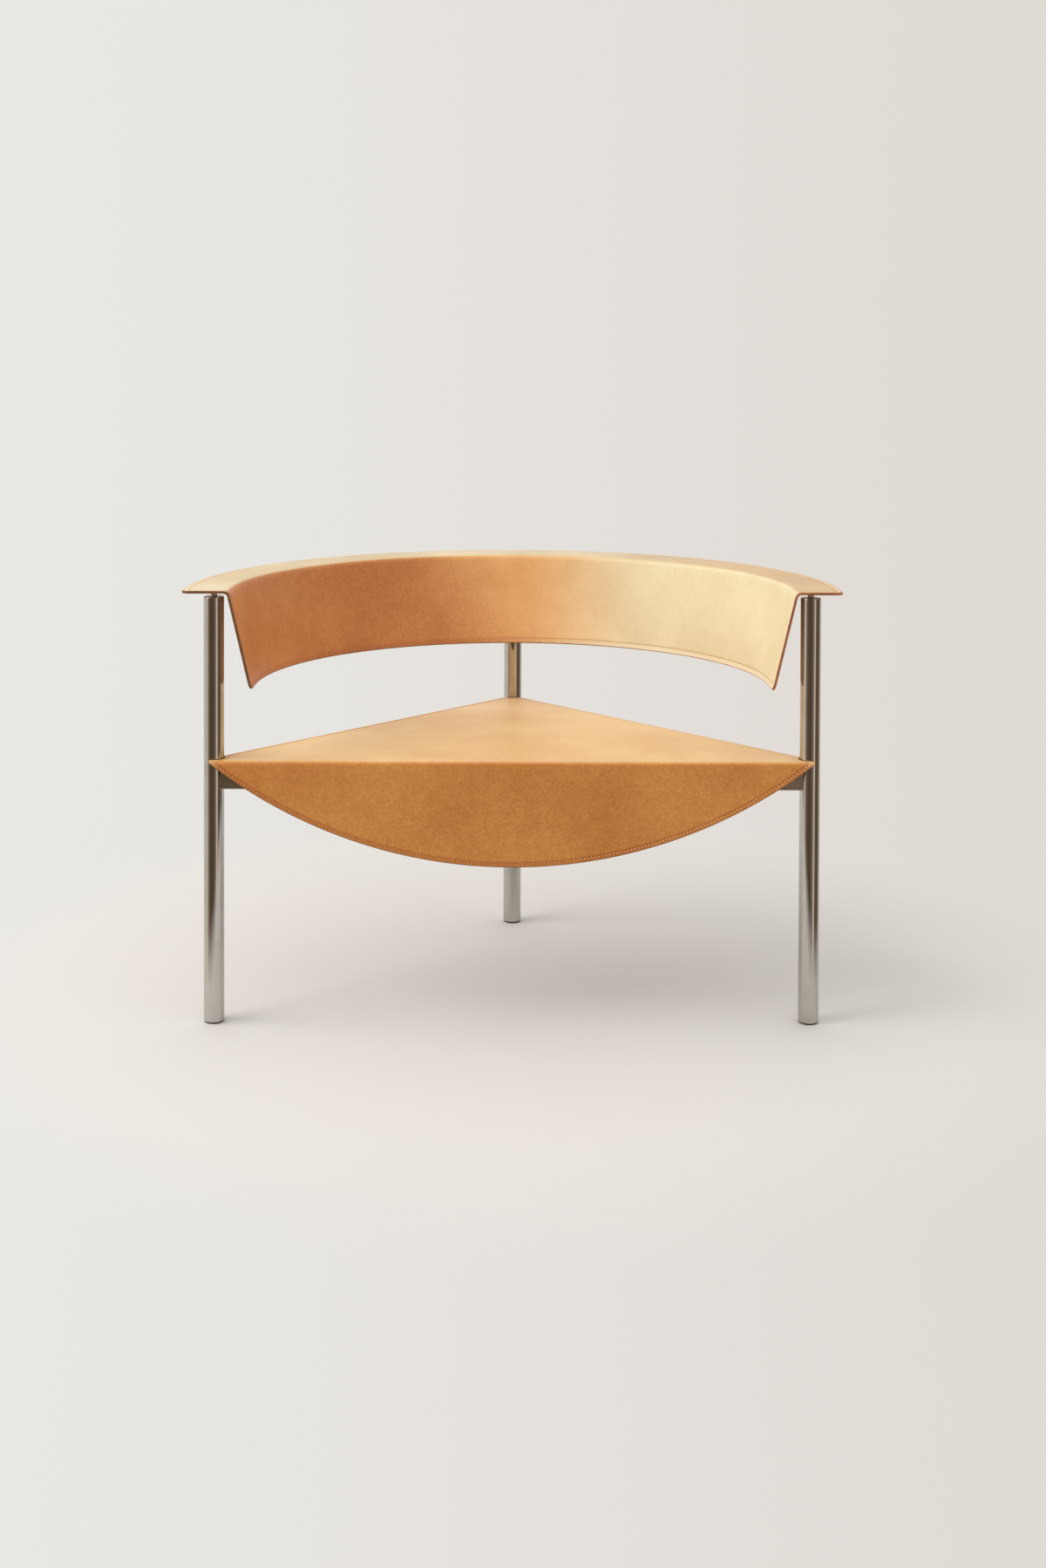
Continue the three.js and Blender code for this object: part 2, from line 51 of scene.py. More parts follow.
FULL_TURN = 2 * math.pi
QUARTER_TURN = math.pi / 2
LEGS = ("front_left", "front_right", "rear")
SCREWS = ("left", "right", "middle", "rear")

# Sizes that the frame gives, in millimetres


def frame_box(node):
    """The lowest and highest corners of a node, in millimetres."""
    low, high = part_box(node)
    return low / MM, high / MM


def middle_of(node):
    low, high = frame_box(node)
    return (low + high) / 2


leg_low, leg_high = frame_box("leg_front_left")
seat_low, seat_high = frame_box("seat_leather_face")
band_low, band_high = frame_box("back_leather_face")
LEG_RADIUS = (leg_high.x - leg_low.x) / 2
LEG_X = (leg_high.x + leg_low.x) / 2
LEG_LINE = (leg_high.y + leg_low.y) / 2
SEAT_TOP = seat_high.z
SEAT_REAR = seat_high.y
APRON_FRONT = seat_low.y
APRON_BOTTOM = seat_low.z
BACK_TOP = band_high.z
RIM_RADIUS = band_high.x
ARM_FRONT = band_low.y
ARM_BACK = band_high.y - RIM_RADIUS

# Sizes of the seat's leather, in millimetres
SEAT_THICKNESS = 4.3
SEAT_FOLD_RADIUS = 5.5
SEAT_REAR_WIDTH = 32
NOTCH_CLEARANCE = 1.2
APRON_TIP_OVERHANG = 8.5
TIP_CUT = 3.5
NUT_HOLE_RADIUS = 6.8
UNSTITCHED_RUN = (-8, 2)  # in front of each leg, where its notch leaves no room

# Sizes of the band's leather, in millimetres
BACK_THICKNESS = 4.0
BEND_INSET = 15.2
BEND_RADIUS = 10
SKIRT_LENGTH = 140.2
SKIRT_LEAN = math.radians(13.3)
RIM_CORNER_RADIUS = 10
SKIRT_CORNER_RADIUS = 13
STUD_HOLE_RADIUS = 3.3

# Sizes of every sheet's edge and seam, in millimetres
FACE_DEPTH = 1.45
LINING_DEPTH = 1.55
POCKET_START = 6.3
POCKET_END = 6.9
LINING_LEFT = 0.95
EDGE_ROUND = 0.85
SEAM_INSET = 4.7
SEAM_SINK = 0.22
SEAM_HALF_WIDTH = 1.1
BAND_CREASE = 8.5
SEAT_CREASE = 7.4
CREASE_SINK = 0.14
CREASE_HALF_WIDTH = 0.6
WAVE_HEIGHT = 0.1
WAVE_LENGTH = 90
WAVE_FADE = 30
STITCH_PITCH = 5.3
STITCH_LENGTH = 3.7
STITCH_RADIUS = 0.68
STITCH_FLATNESS = 0.85
STITCH_SLANT = math.radians(34)

# Sizes of the turned hardware, in millimetres
LEG_WALL = 2
LEG_CHAMFER = 0.5
LEG_LOOP = 0.3  # past each chamfer, which keeps its shading off the long wall
ROUNDING = 0.3  # how far a chamfer's middle point stands off both faces, as a share of it
PLUG_BEVEL = 0.4
COLLAR_BEVEL = 0.5
GLIDE_THICKNESS = 2
GLIDE_FOOT = ((1.4, 0.0), (0.8, 0.15), (0.24, 0.44), (0.0, 1.0))  # in from the rim, and up
GLIDE_SHOULDER = ((0.0, 0.2), (0.2, 0.0))  # in from the rim, and down
STEM_GAP = 0.3
STEM_BEVEL = 0.5
SHANK_RADIUS = 3.0
SCREW_HEAD_HEIGHT = 3.3
SCREW_DOME = ((0.62, 0.0), (0.72, 0.04), (0.85, 0.16), (0.94, 0.34), (0.99, 0.56), (1.0, 0.72))
SOCKET_WIDTH = 4
SOCKET_DEPTH = 2

# Fineness of the leather meshes, in millimetres
TRACE_STEP = 0.25
CORNER_SOFTNESS = 0.9
CHORD_ERROR = 0.012
LONGEST_STEP = 3.2
BENT_STEP = 1.3
BENT_MARGIN = 1
GRID_STEP = 9.0
CURVED_GRID_STEP = 6.3
GRID_CLEARANCE = 1.2
HOLE_CLEARANCE = 0.4
HOLE_SHARE = 0.97  # of a hole's radius: triangles with their middle within it are cut out
RING_INSETS = (
    0.1, 0.25, 0.45, 0.7, 1.0, 1.6, 2.4, 3.2, 3.8, 4.3, 4.7, 5.1, 5.6, 6.2, 6.6, 7.0,
    7.6, 8.1, 8.5, 8.9, 9.4, 10.4,
)
RING_GAP, RING_GAP_GROWTH = 0.25, 0.1
RING_ERROR, RING_ERROR_GROWTH = 0.02, 0.02
SEAM_ERROR = 0.06
SEAM_BREAK = 1.5
CDT_ERROR = 1e-5

# Counts of points and sides
HOLE_SIDES = 24
CORNER_POINTS = 24
NOTCH_POINTS = 240
APRON_POINTS = 6000
STITCH_SIDES = 8

# A stitch's rings: places along its half length, widths and lifts in shares of its radius
STITCH_RINGS = (
    (-1.0, 0.25, -0.55), (-0.86, 0.7, -0.2), (-0.5, 0.97, 0.12), (0.0, 1.0, 0.2),
    (0.5, 0.97, 0.12), (0.86, 0.7, -0.2), (1.0, 0.25, -0.55),
)


# Colours

# A screen's colour curve: where its straight foot ends, the foot's slope, offset and power
SCREEN_FOOT, SCREEN_SLOPE, SCREEN_OFFSET, SCREEN_POWER = 0.04045, 12.92, 0.055, 2.4


def screen(red, green, blue):
    """A colour written as a screen shows it, from 0 to 255, in Blender's linear values."""
    def one(value):
        share = value / 255
        if share <= SCREEN_FOOT:
            return share / SCREEN_SLOPE
        return ((share + SCREEN_OFFSET) / (1 + SCREEN_OFFSET)) ** SCREEN_POWER

    return (one(red), one(green), one(blue), 1)


# The deep and the pale tone of each surface, as a screen shows them. Several pairs paint light
# and shade into the colour: the pale, amber and brown skirts, the apron and its thread, the
# seat's paler rear, the redder edge and the brown thread.
TONES = {
    "natural_band": ((211, 187, 145), (227, 208, 170)),
    "rosy_rim": ((212, 176, 130), (224, 189, 143)),
    "lit_arm_skirt": ((228, 214, 171), (236, 224, 184)),
    "half_shaded_back_skirt": ((234, 172, 103), (245, 188, 121)),
    "shaded_arm_skirt": ((209, 131, 70), (221, 148, 84)),
    "seat": ((226, 183, 125), (236, 199, 141)),
    "lit_seat_rear": ((242, 198, 146), (250, 211, 160)),
    "apron": ((221, 144, 64), (231, 158, 76)),
    "lining": ((186, 130, 80), (208, 156, 106)),
    "burnished": ((112, 70, 34), (138, 90, 48)),
    "lit_burnished": ((160, 92, 52), (184, 112, 66)),
    "thread": ((232, 208, 164), (250, 238, 208)),
    "apron_thread": ((238, 182, 112), (252, 210, 148)),
    "shaded_arm_thread": ((196, 140, 90), (220, 166, 114)),
    "polished": ((182, 179, 174), (204, 201, 197)),
    "crossbar": ((188, 178, 164), (220, 211, 197)),
    "spine": ((96, 92, 88), (142, 138, 133)),
    "core": ((92, 90, 88), (128, 126, 124)),
    "zinc": ((150, 152, 154), (188, 190, 192)),
    "plastic": ((26, 24, 22), (48, 45, 42)),
}
TONES = {name: tuple(screen(*tone) for tone in pair) for name, pair in TONES.items()}

# How a leather's mottling, flecks, seams, creases and margins tint it. The pressed tint is
# painted shade in the seam and crease grooves as well as pressed leather's own darkening, and the
# last margin tone is painted light.
MOTTLE_TINT = screen(248, 243, 237)
FLECK_TINT = screen(236, 226, 212)
PRESSED_AND_SHADED_TINT = screen(222, 196, 168)
MARGIN_TINT = screen(246, 232, 214)
LIT_MARGIN_TONE = screen(246, 236, 206)


# Materials


class Nodes:
    """A node tree and short ways to add nodes to it."""

    def __init__(self, tree, coordinates):
        self.tree = tree
        self.place = self.add("ShaderNodeTexCoord").outputs[coordinates]

    def add(self, kind, inputs=None, **settings):
        node = self.tree.nodes.new(kind)
        for key, value in settings.items():
            setattr(node, key, value)
        for key, value in (inputs or {}).items():
            self.feed(node.inputs[key], value)
        return node

    def feed(self, socket, value):
        if isinstance(value, bpy.types.NodeSocket):
            self.tree.links.new(value, socket)
        else:
            socket.default_value = value

    def axis(self, name):
        return self.add("ShaderNodeSeparateXYZ", {"Vector": self.place}).outputs[name]

    def math(self, operation, first, second=0.0, third=0.0):
        node = self.add("ShaderNodeMath", operation=operation)
        for socket, value in zip(node.inputs, (first, second, third)):
            self.feed(socket, value)
        return node.outputs["Value"]

    def product(self, value, *others):
        for other in others:
            value = self.math("MULTIPLY", value, other)
        return value

    def span(self, value, start, end, low=0.0, high=1.0):
        """Low at start and high at end, smooth in between."""
        inputs = {
            "Value": value, "From Min": start, "From Max": end, "To Min": low, "To Max": high,
        }
        node = self.add("ShaderNodeMapRange", inputs, interpolation_type="SMOOTHSTEP")
        return node.outputs["Result"]

    def mix(self, share, first, second, blend="MIX"):
        node = self.add("ShaderNodeMix", data_type="RGBA", blend_type=blend)
        self.feed(node.inputs["Factor"], share)
        colours = [socket for socket in node.inputs if socket.type == "RGBA"]
        self.feed(colours[0], first)
        self.feed(colours[1], second)
        return [socket for socket in node.outputs if socket.type == "RGBA"][0]


class Paint(Nodes):
    """A material, whose nodes know the place on the chair in metres."""

    def __init__(self, name):
        self.material = bpy.data.materials.new(name)
        self.material.use_nodes = True
        super().__init__(self.material.node_tree, "Object")
        self.shader = self.tree.nodes["Principled BSDF"]

    def set(self, **inputs):
        for key, value in inputs.items():
            self.feed(self.shader.inputs[key.replace("_", " ")], value)

    def noise(self, scale, detail, roughness, stretch=None):
        """Noise, with its scale along each axis multiplied by a stretch."""
        place = self.place
        if stretch:
            scaled = self.add("ShaderNodeMapping", {"Vector": place, "Scale": stretch})
            place = scaled.outputs["Vector"]
        inputs = {"Vector": place, "Scale": scale, "Detail": detail, "Roughness": roughness}
        return self.add("ShaderNodeTexNoise", inputs).outputs["Fac"]

    def cells(self, scale, smoothness):
        inputs = {"Vector": self.place, "Scale": scale, "Smoothness": smoothness}
        node = self.add("ShaderNodeTexVoronoi", inputs, feature="SMOOTH_F1")
        return node.outputs["Distance"]

    def line(self, value, middle, half_width):
        """One at the middle value, falling to nothing at a half width to either side."""
        away = self.math("ABSOLUTE", self.math("SUBTRACT", value, middle))
        return self.span(away, 0.0, half_width, 1.0, 0.0)

    def tinted(self, colour, tint, *shares):
        """The colour multiplied by a tint, as far as the product of the shares says."""
        return self.mix(self.product(*shares), colour, tint, "MULTIPLY")

    def bump(self, height, depth):
        inputs = {"Height": height, "Distance": depth, "Strength": 1.0}
        return self.add("ShaderNodeBump", inputs).outputs["Normal"]


# Where the tones change on the chair, in metres, from nothing of a tone to all of it. Apart from
# the rim's pinker end, these masks paint light and shade: the left arm's skirt and edge and the
# seat's rear lit, the back and right arm's skirt and the apron shaded.
RIM_TO_BEND_Z = (0.6337, 0.6312)
LIT_ARM_X, LIT_ARM_Z = (0.02, 0.24), (0.38, 0.6)
ROSY_X = (0.1, 0.42)
HALF_SHADED_X = (0.25, -0.025)
SHADED_ARM_X, SHADED_ARM_LEAN = (0.325, 0.135), 0.5
APRON_Y = (-0.26, -0.2646)
APRON_OFF_MIDDLE, APRON_TIP_SHARE = (0.441, 0.418), 0.15
LIT_SEAT_Y, LIT_SEAT_SHARE = (0.0, 0.18), 0.9
LIT_EDGE_X = (0.0, 0.4)


def below_rim(paint):
    """One on the band's bend and skirt, nothing on its flat rim."""
    return paint.span(paint.axis("Z"), *RIM_TO_BEND_Z)


def lit_arm_skirt(paint):
    """The inside of the left arm's skirt, painted as lit, palest near the bend."""
    along, up = paint.span(paint.axis("X"), *LIT_ARM_X), paint.span(paint.axis("Z"), *LIT_ARM_Z)
    return paint.product(along, below_rim(paint), up)


def rosy_rim(paint):
    """The left end of the rim, which is a little pinker."""
    on_top = paint.math("SUBTRACT", 1.0, below_rim(paint))
    return paint.product(paint.span(paint.axis("X"), *ROSY_X), on_top)


def half_shaded_back_skirt(paint):
    """The back of the skirt, painted half in shade, fading out along the left arm."""
    return paint.product(paint.span(paint.axis("X"), *HALF_SHADED_X), below_rim(paint))


def shaded_arm_skirt(paint):
    """The inside of the right arm's skirt, painted deepest in shade."""
    leaning = paint.math("MULTIPLY_ADD", paint.axis("Z"), SHADED_ARM_LEAN, paint.axis("X"))
    return paint.product(paint.span(leaning, *SHADED_ARM_X), below_rim(paint))


def shaded_apron(paint):
    """The apron, painted in more shade than the sitting surface and its own tips."""
    off_middle = paint.math("ABSOLUTE", paint.axis("X"))
    within = paint.span(off_middle, *APRON_OFF_MIDDLE, APRON_TIP_SHARE, 1)
    return paint.product(paint.span(paint.axis("Y"), *APRON_Y), within)


def lit_seat_rear(paint):
    """The back of the sitting surface, painted lighter as lit from behind."""
    return paint.span(paint.axis("Y"), *LIT_SEAT_Y, 0, LIT_SEAT_SHARE)


# Noises: scale, detail and roughness, and a stretch where they run in lines
CLOUDS = (6.5, 3, 0.55)
MOTTLING = (85, 6, 0.66)
FLECKS = (330, 4, 0.7)
PLASTIC_GRAIN = (900, 3, 0.6)
THREAD_PLY = (1600, 2, 0.5)
POLISHING = (1.0, 3, 0.6, (1400, 1400, 9))
POLISH_HAZE = (38, 3, 0.6)
DRAWING = (1.0, 4, 0.65)
DRAWING_ACROSS, DRAWING_ALONG = 700, 6
DRAWING_HAZE = (24, 4, 0.6)
PORES = (950, 0.6)

# Which part of a noise's range counts as all of it
MOST_OF_RANGE = (0.3, 0.7)
CLOUD_RANGE = (0.33, 0.67)
MOTTLE_RANGE = (0.66, 0.36)
WAX_RANGE = (0.4, 0.6)
DRAWING_RANGE = (0.34, 0.66)

# Depths of bumps, in metres
GRAIN_DEPTH = 0.00003
THREAD_DEPTH = 0.00005
DRAWING_DEPTH = 0.00002
POLISH_DEPTH = 0.000001

# Roughness: one number, or the least and the most
FACE_ROUGHNESS = 0.4
LINING_ROUGHNESS = 0.5
MOTTLE_ROUGHNESS = 0.14
WAX_COAT, WAX_COAT_ROUGHNESS = 0.08, 0.35
POLISH_ROUGHNESS, POLISH_LINE_ROUGHNESS = (0.02, 0.05), 0.03
DRAWN_ROUGHNESS = (0.34, 0.48)
CROSSBAR_ROUGHNESS = (0.18, 0.28)
PLASTIC_ROUGHNESS = (0.5, 0.66)
THREAD_ROUGHNESS = (0.5, 0.7)

# How leather's marks fade, in millimetres from the cut edge, and how strong they are. The seam
# and crease lines are painted groove shade as well as pressed leather, and the crease's shade is
# fainter on the shaded skirt.
MARGIN_FADE = 2
SEAM_SHADE = 1.4
CREASE_SHADE = 1.9
EDGE_RAG = 0.5
BURNISH_FADE = (0.5, 1.9)
UNMASKED_MOTTLE = 0.35
CREASE_SHARE, SHADED_CREASE_LOSS = 0.85, 0.6
FLECK_HEIGHT = 0.6


def retoned(paint, first_tone, retoning):
    """The deep and the pale tone after every step, most of them painted light and shade, and the
    last step's mask.
    """
    (deep, pale), mask = TONES[first_tone], None
    for where, tones in retoning:
        mask = where(paint)
        deep, pale = (paint.mix(mask, *pair) for pair in zip((deep, pale), TONES[tones]))
    return deep, pale, mask


def leather(name, first_tone, crease, roughness, retoning=(), lit_margin=None, faint_crease_in_shade=None):
    """Vegetable-tanned leather: clouds, mottling, fine pores and a burnished cut edge. Each step,
    painted light and shade on most parts, is a mask, one where it takes over, and its tones. The
    margin outside the crease is painted pale as lit where one mask says, and the crease's painted
    shade is weak where another does."""
    paint = Paint(name)
    mottle, fleck = paint.noise(*MOTTLING), paint.noise(*FLECKS)
    deep, pale, mask = retoned(paint, first_tone, retoning)
    # Mottle, margin and seam marks are strongest under the last mask: on the band the right arm's
    # shaded skirt, on the seat the shaded apron.
    mark_strength, crease_strength = UNMASKED_MOTTLE, CREASE_SHARE
    if retoning:
        mark_strength = paint.math("MULTIPLY_ADD", mask, 1 - UNMASKED_MOTTLE, UNMASKED_MOTTLE)
    # The crease's painted shade is fainter where the skirt is painted in shade.
    if faint_crease_in_shade:
        crease_strength = paint.math("MULTIPLY_ADD", faint_crease_in_shade(paint), -SHADED_CREASE_LOSS, CREASE_SHARE)
    colour = paint.mix(paint.span(paint.noise(*CLOUDS), *CLOUD_RANGE), deep, pale)
    for spread, tint in ((mottle, MOTTLE_TINT), (fleck, FLECK_TINT)):
        colour = paint.tinted(colour, tint, paint.span(spread, *MOTTLE_RANGE), mark_strength)
    edge = paint.add("ShaderNodeAttribute", attribute_name="from_edge").outputs["Fac"]
    margin = paint.span(edge, crease, crease - MARGIN_FADE)
    colour = paint.tinted(colour, MARGIN_TINT, margin, mark_strength)
    # Painted light: the margin turns pale where the skirt is painted as lit.
    if lit_margin:
        colour = paint.mix(paint.product(margin, lit_margin(paint)), colour, LIT_MARGIN_TONE)
    # Painted shade in the seam's and the crease's grooves, together with pressed leather's own
    # darkening.
    colour = paint.tinted(colour, PRESSED_AND_SHADED_TINT, paint.line(edge, SEAM_INSET, SEAM_SHADE), mark_strength)
    colour = paint.tinted(colour, PRESSED_AND_SHADED_TINT, paint.line(edge, crease, CREASE_SHADE), crease_strength)
    past_rag = paint.math("SUBTRACT", edge, EDGE_RAG / 2)
    ragged = paint.math("MULTIPLY_ADD", mottle, EDGE_RAG, past_rag)
    # The burnished edge is painted lighter and redder where it is lit, along the left arm.
    lit_edge = paint.span(paint.axis("X"), *LIT_EDGE_X)
    pairs = zip(TONES["burnished"], TONES["lit_burnished"])
    burnish_with_painted_light = paint.mix(
        paint.span(mottle, *WAX_RANGE), *(paint.mix(lit_edge, *pair) for pair in pairs))
    colour = paint.mix(paint.span(ragged, *BURNISH_FADE, 1.0, 0.0), colour, burnish_with_painted_light)
    height = paint.math("MULTIPLY_ADD", fleck, FLECK_HEIGHT, paint.cells(*PORES))
    paint.set(
        Base_Color=colour,
        Roughness=paint.math("MULTIPLY_ADD", mottle, MOTTLE_ROUGHNESS, roughness),
        Normal=paint.bump(height, GRAIN_DEPTH),
        Coat_Weight=WAX_COAT,
        Coat_Roughness=WAX_COAT_ROUGHNESS,
    )
    return paint.material


def polished_steel():
    """Bright tube with the faint lengthwise lines that polishing leaves."""
    paint = Paint("polished_steel")
    lines, haze = paint.noise(*POLISHING), paint.noise(*POLISH_HAZE)
    dull = paint.span(haze, *MOST_OF_RANGE, *POLISH_ROUGHNESS)
    paint.set(
        Base_Color=paint.mix(haze, *TONES["polished"]),
        Metallic=1.0,
        Roughness=paint.math("MULTIPLY_ADD", lines, POLISH_LINE_ROUGHNESS, dull),
        Normal=paint.bump(lines, POLISH_DEPTH),
    )
    return paint.material


def drawn_steel(name, along, rough=DRAWN_ROUGHNESS):
    """Grey steel with the lines of drawing or brushing along one axis."""
    paint = Paint(f"{name}_steel")
    stretch = [DRAWING_ACROSS] * 3
    stretch[along] = DRAWING_ALONG
    lines = paint.noise(*DRAWING, stretch)
    haze = paint.math("MULTIPLY", paint.noise(*DRAWING_HAZE), 0.5)
    tone = paint.math("MULTIPLY_ADD", lines, 0.5, haze)
    paint.set(
        Base_Color=paint.mix(paint.span(tone, *DRAWING_RANGE), *TONES[name]),
        Metallic=1.0,
        Roughness=paint.span(tone, *MOST_OF_RANGE, *rough),
        Normal=paint.bump(lines, DRAWING_DEPTH),
    )
    return paint.material


def glide_plastic():
    paint = Paint("glide_plastic")
    grain = paint.noise(*PLASTIC_GRAIN)
    paint.set(
        Base_Color=paint.mix(grain, *TONES["plastic"]),
        Roughness=paint.span(grain, *MOST_OF_RANGE, *PLASTIC_ROUGHNESS),
        Normal=paint.bump(grain, GRAIN_DEPTH),
    )
    return paint.material


def waxed_thread():
    """Pale thread, painted in shade where the leather round it is painted in shade."""
    paint = Paint("waxed_thread")
    ply = paint.noise(*THREAD_PLY)
    retoning = ((shaded_apron, "apron_thread"), (shaded_arm_skirt, "shaded_arm_thread"))
    deep, pale, _ = retoned(paint, "thread", retoning)
    paint.set(
        Base_Color=paint.mix(ply, deep, pale),
        Roughness=paint.span(ply, *MOST_OF_RANGE, *THREAD_ROUGHNESS),
        Normal=paint.bump(ply, THREAD_DEPTH),
    )
    return paint.material


# The band's steps: painted light on the left arm's skirt, painted shade on the back and right
# arm's skirt, and the rim's pinker end.
BAND_LIGHT_AND_TONE = (
    (rosy_rim, "rosy_rim"), (lit_arm_skirt, "lit_arm_skirt"), (half_shaded_back_skirt, "half_shaded_back_skirt"),
    (shaded_arm_skirt, "shaded_arm_skirt"),
)
# The seat's steps: painted light on its rear and painted shade on its apron.
SEAT_LIGHT_AND_SHADE = ((lit_seat_rear, "lit_seat_rear"), (shaded_apron, "apron"))
ALONG_X, ALONG_Y, ALONG_Z = range(3)
MATERIALS = {
    # The band's margin is painted pale on the lit skirt, and its crease shade painted fainter on
    # the shaded skirt.
    "back_face": leather(
        "saddle_leather", "natural_band", BAND_CREASE, FACE_ROUGHNESS, BAND_LIGHT_AND_TONE,
        lit_margin=lit_arm_skirt, faint_crease_in_shade=shaded_arm_skirt),
    "seat_face": leather("seat_leather", "seat", SEAT_CREASE, FACE_ROUGHNESS, SEAT_LIGHT_AND_SHADE),
    "back_lining": leather("back_lining_hide", "lining", BAND_CREASE, LINING_ROUGHNESS),
    "seat_lining": leather("seat_lining_hide", "lining", SEAT_CREASE, LINING_ROUGHNESS),
    "polished": polished_steel(),
    "crossbar": drawn_steel("crossbar", ALONG_X, CROSSBAR_ROUGHNESS),
    "spine": drawn_steel("spine", ALONG_Y),
    "core": drawn_steel("core", ALONG_X),
    "zinc": drawn_steel("zinc", ALONG_Z),
    "plastic": glide_plastic(),
    "thread": waxed_thread(),
}


# Meshes


def piece(name, vertices, faces, material, slot, replaced=(), smooth_to=50):
    """A mesh from millimetre points that rides on the chair and stands for CAD nodes."""
    mesh = bpy.data.meshes.new(name)
    points = (np.asarray(vertices, float) * MM).tolist()
    mesh.from_pydata(points, [], [list(map(int, face)) for face in faces])
    mesh.polygons.foreach_set("use_smooth", [True] * len(mesh.polygons))
    mesh.set_sharp_from_angle(angle=math.radians(smooth_to))
    mesh.materials.append(MATERIALS[material])
    made = bpy.data.objects.new(name, mesh)
    bpy.context.scene.collection.objects.link(made)
    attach(made, "root")
    if replaced:
        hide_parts(*replaced)
    return made


def turned(profile, place, sides):
    """Points and faces of a turned body round an upright axis, in millimetres. A profile's
    radius is a number, or a function of the angle where the body isn't round there."""
    vertices, rings = [], []
    for radius, height in profile:
        if not callable(radius) and radius <= 0:
            rings.append([len(vertices)] * sides)
            vertices.append((place.x, place.y, height))
            continue
        ring = []
        for side in range(sides):
            angle = FULL_TURN * side / sides
            reach = radius(angle) if callable(radius) else radius
            ring.append(len(vertices))
            x, y = place.x + reach * math.cos(angle), place.y + reach * math.sin(angle)
            vertices.append((x, y, height))
        rings.append(ring)
    faces = []
    for lower, upper in zip(rings, rings[1:]):
        for side in range(sides):
            after = (side + 1) % sides
            corners = [lower[side], lower[after], upper[after], upper[side]]
            face = list(dict.fromkeys(corners))
            if len(face) > 2:
                faces.append(face)
    return vertices, faces


# Flat cuts of leather, in millimetres


def points_at(places, along, line):
    """The points of a line at some distances, given its own points' distances along it."""
    return np.column_stack([np.interp(places, along, line[:, axis]) for axis in (0, 1)])


def even(points, step):
    """A closed outline again, with its points an even step apart."""
    closed = np.vstack([points, points[:1]])
    lengths = np.hypot(*np.diff(closed, axis=0).T)
    along = np.concatenate([[0], np.cumsum(lengths)])
    count = int(round(along[-1] / step))
    return points_at(np.arange(count) * along[-1] / count, along, closed)


def softened(loop, softness, step):
    """A closed outline with its corners rounded a little, by a Gaussian filter."""
    turns = np.fft.fftfreq(len(loop)) * FULL_TURN
    keep = np.exp(-((turns * softness / step) ** 2) / 2)
    return np.real(np.fft.ifft(np.fft.fft(loop, axis=0) * keep[:, None], axis=0))


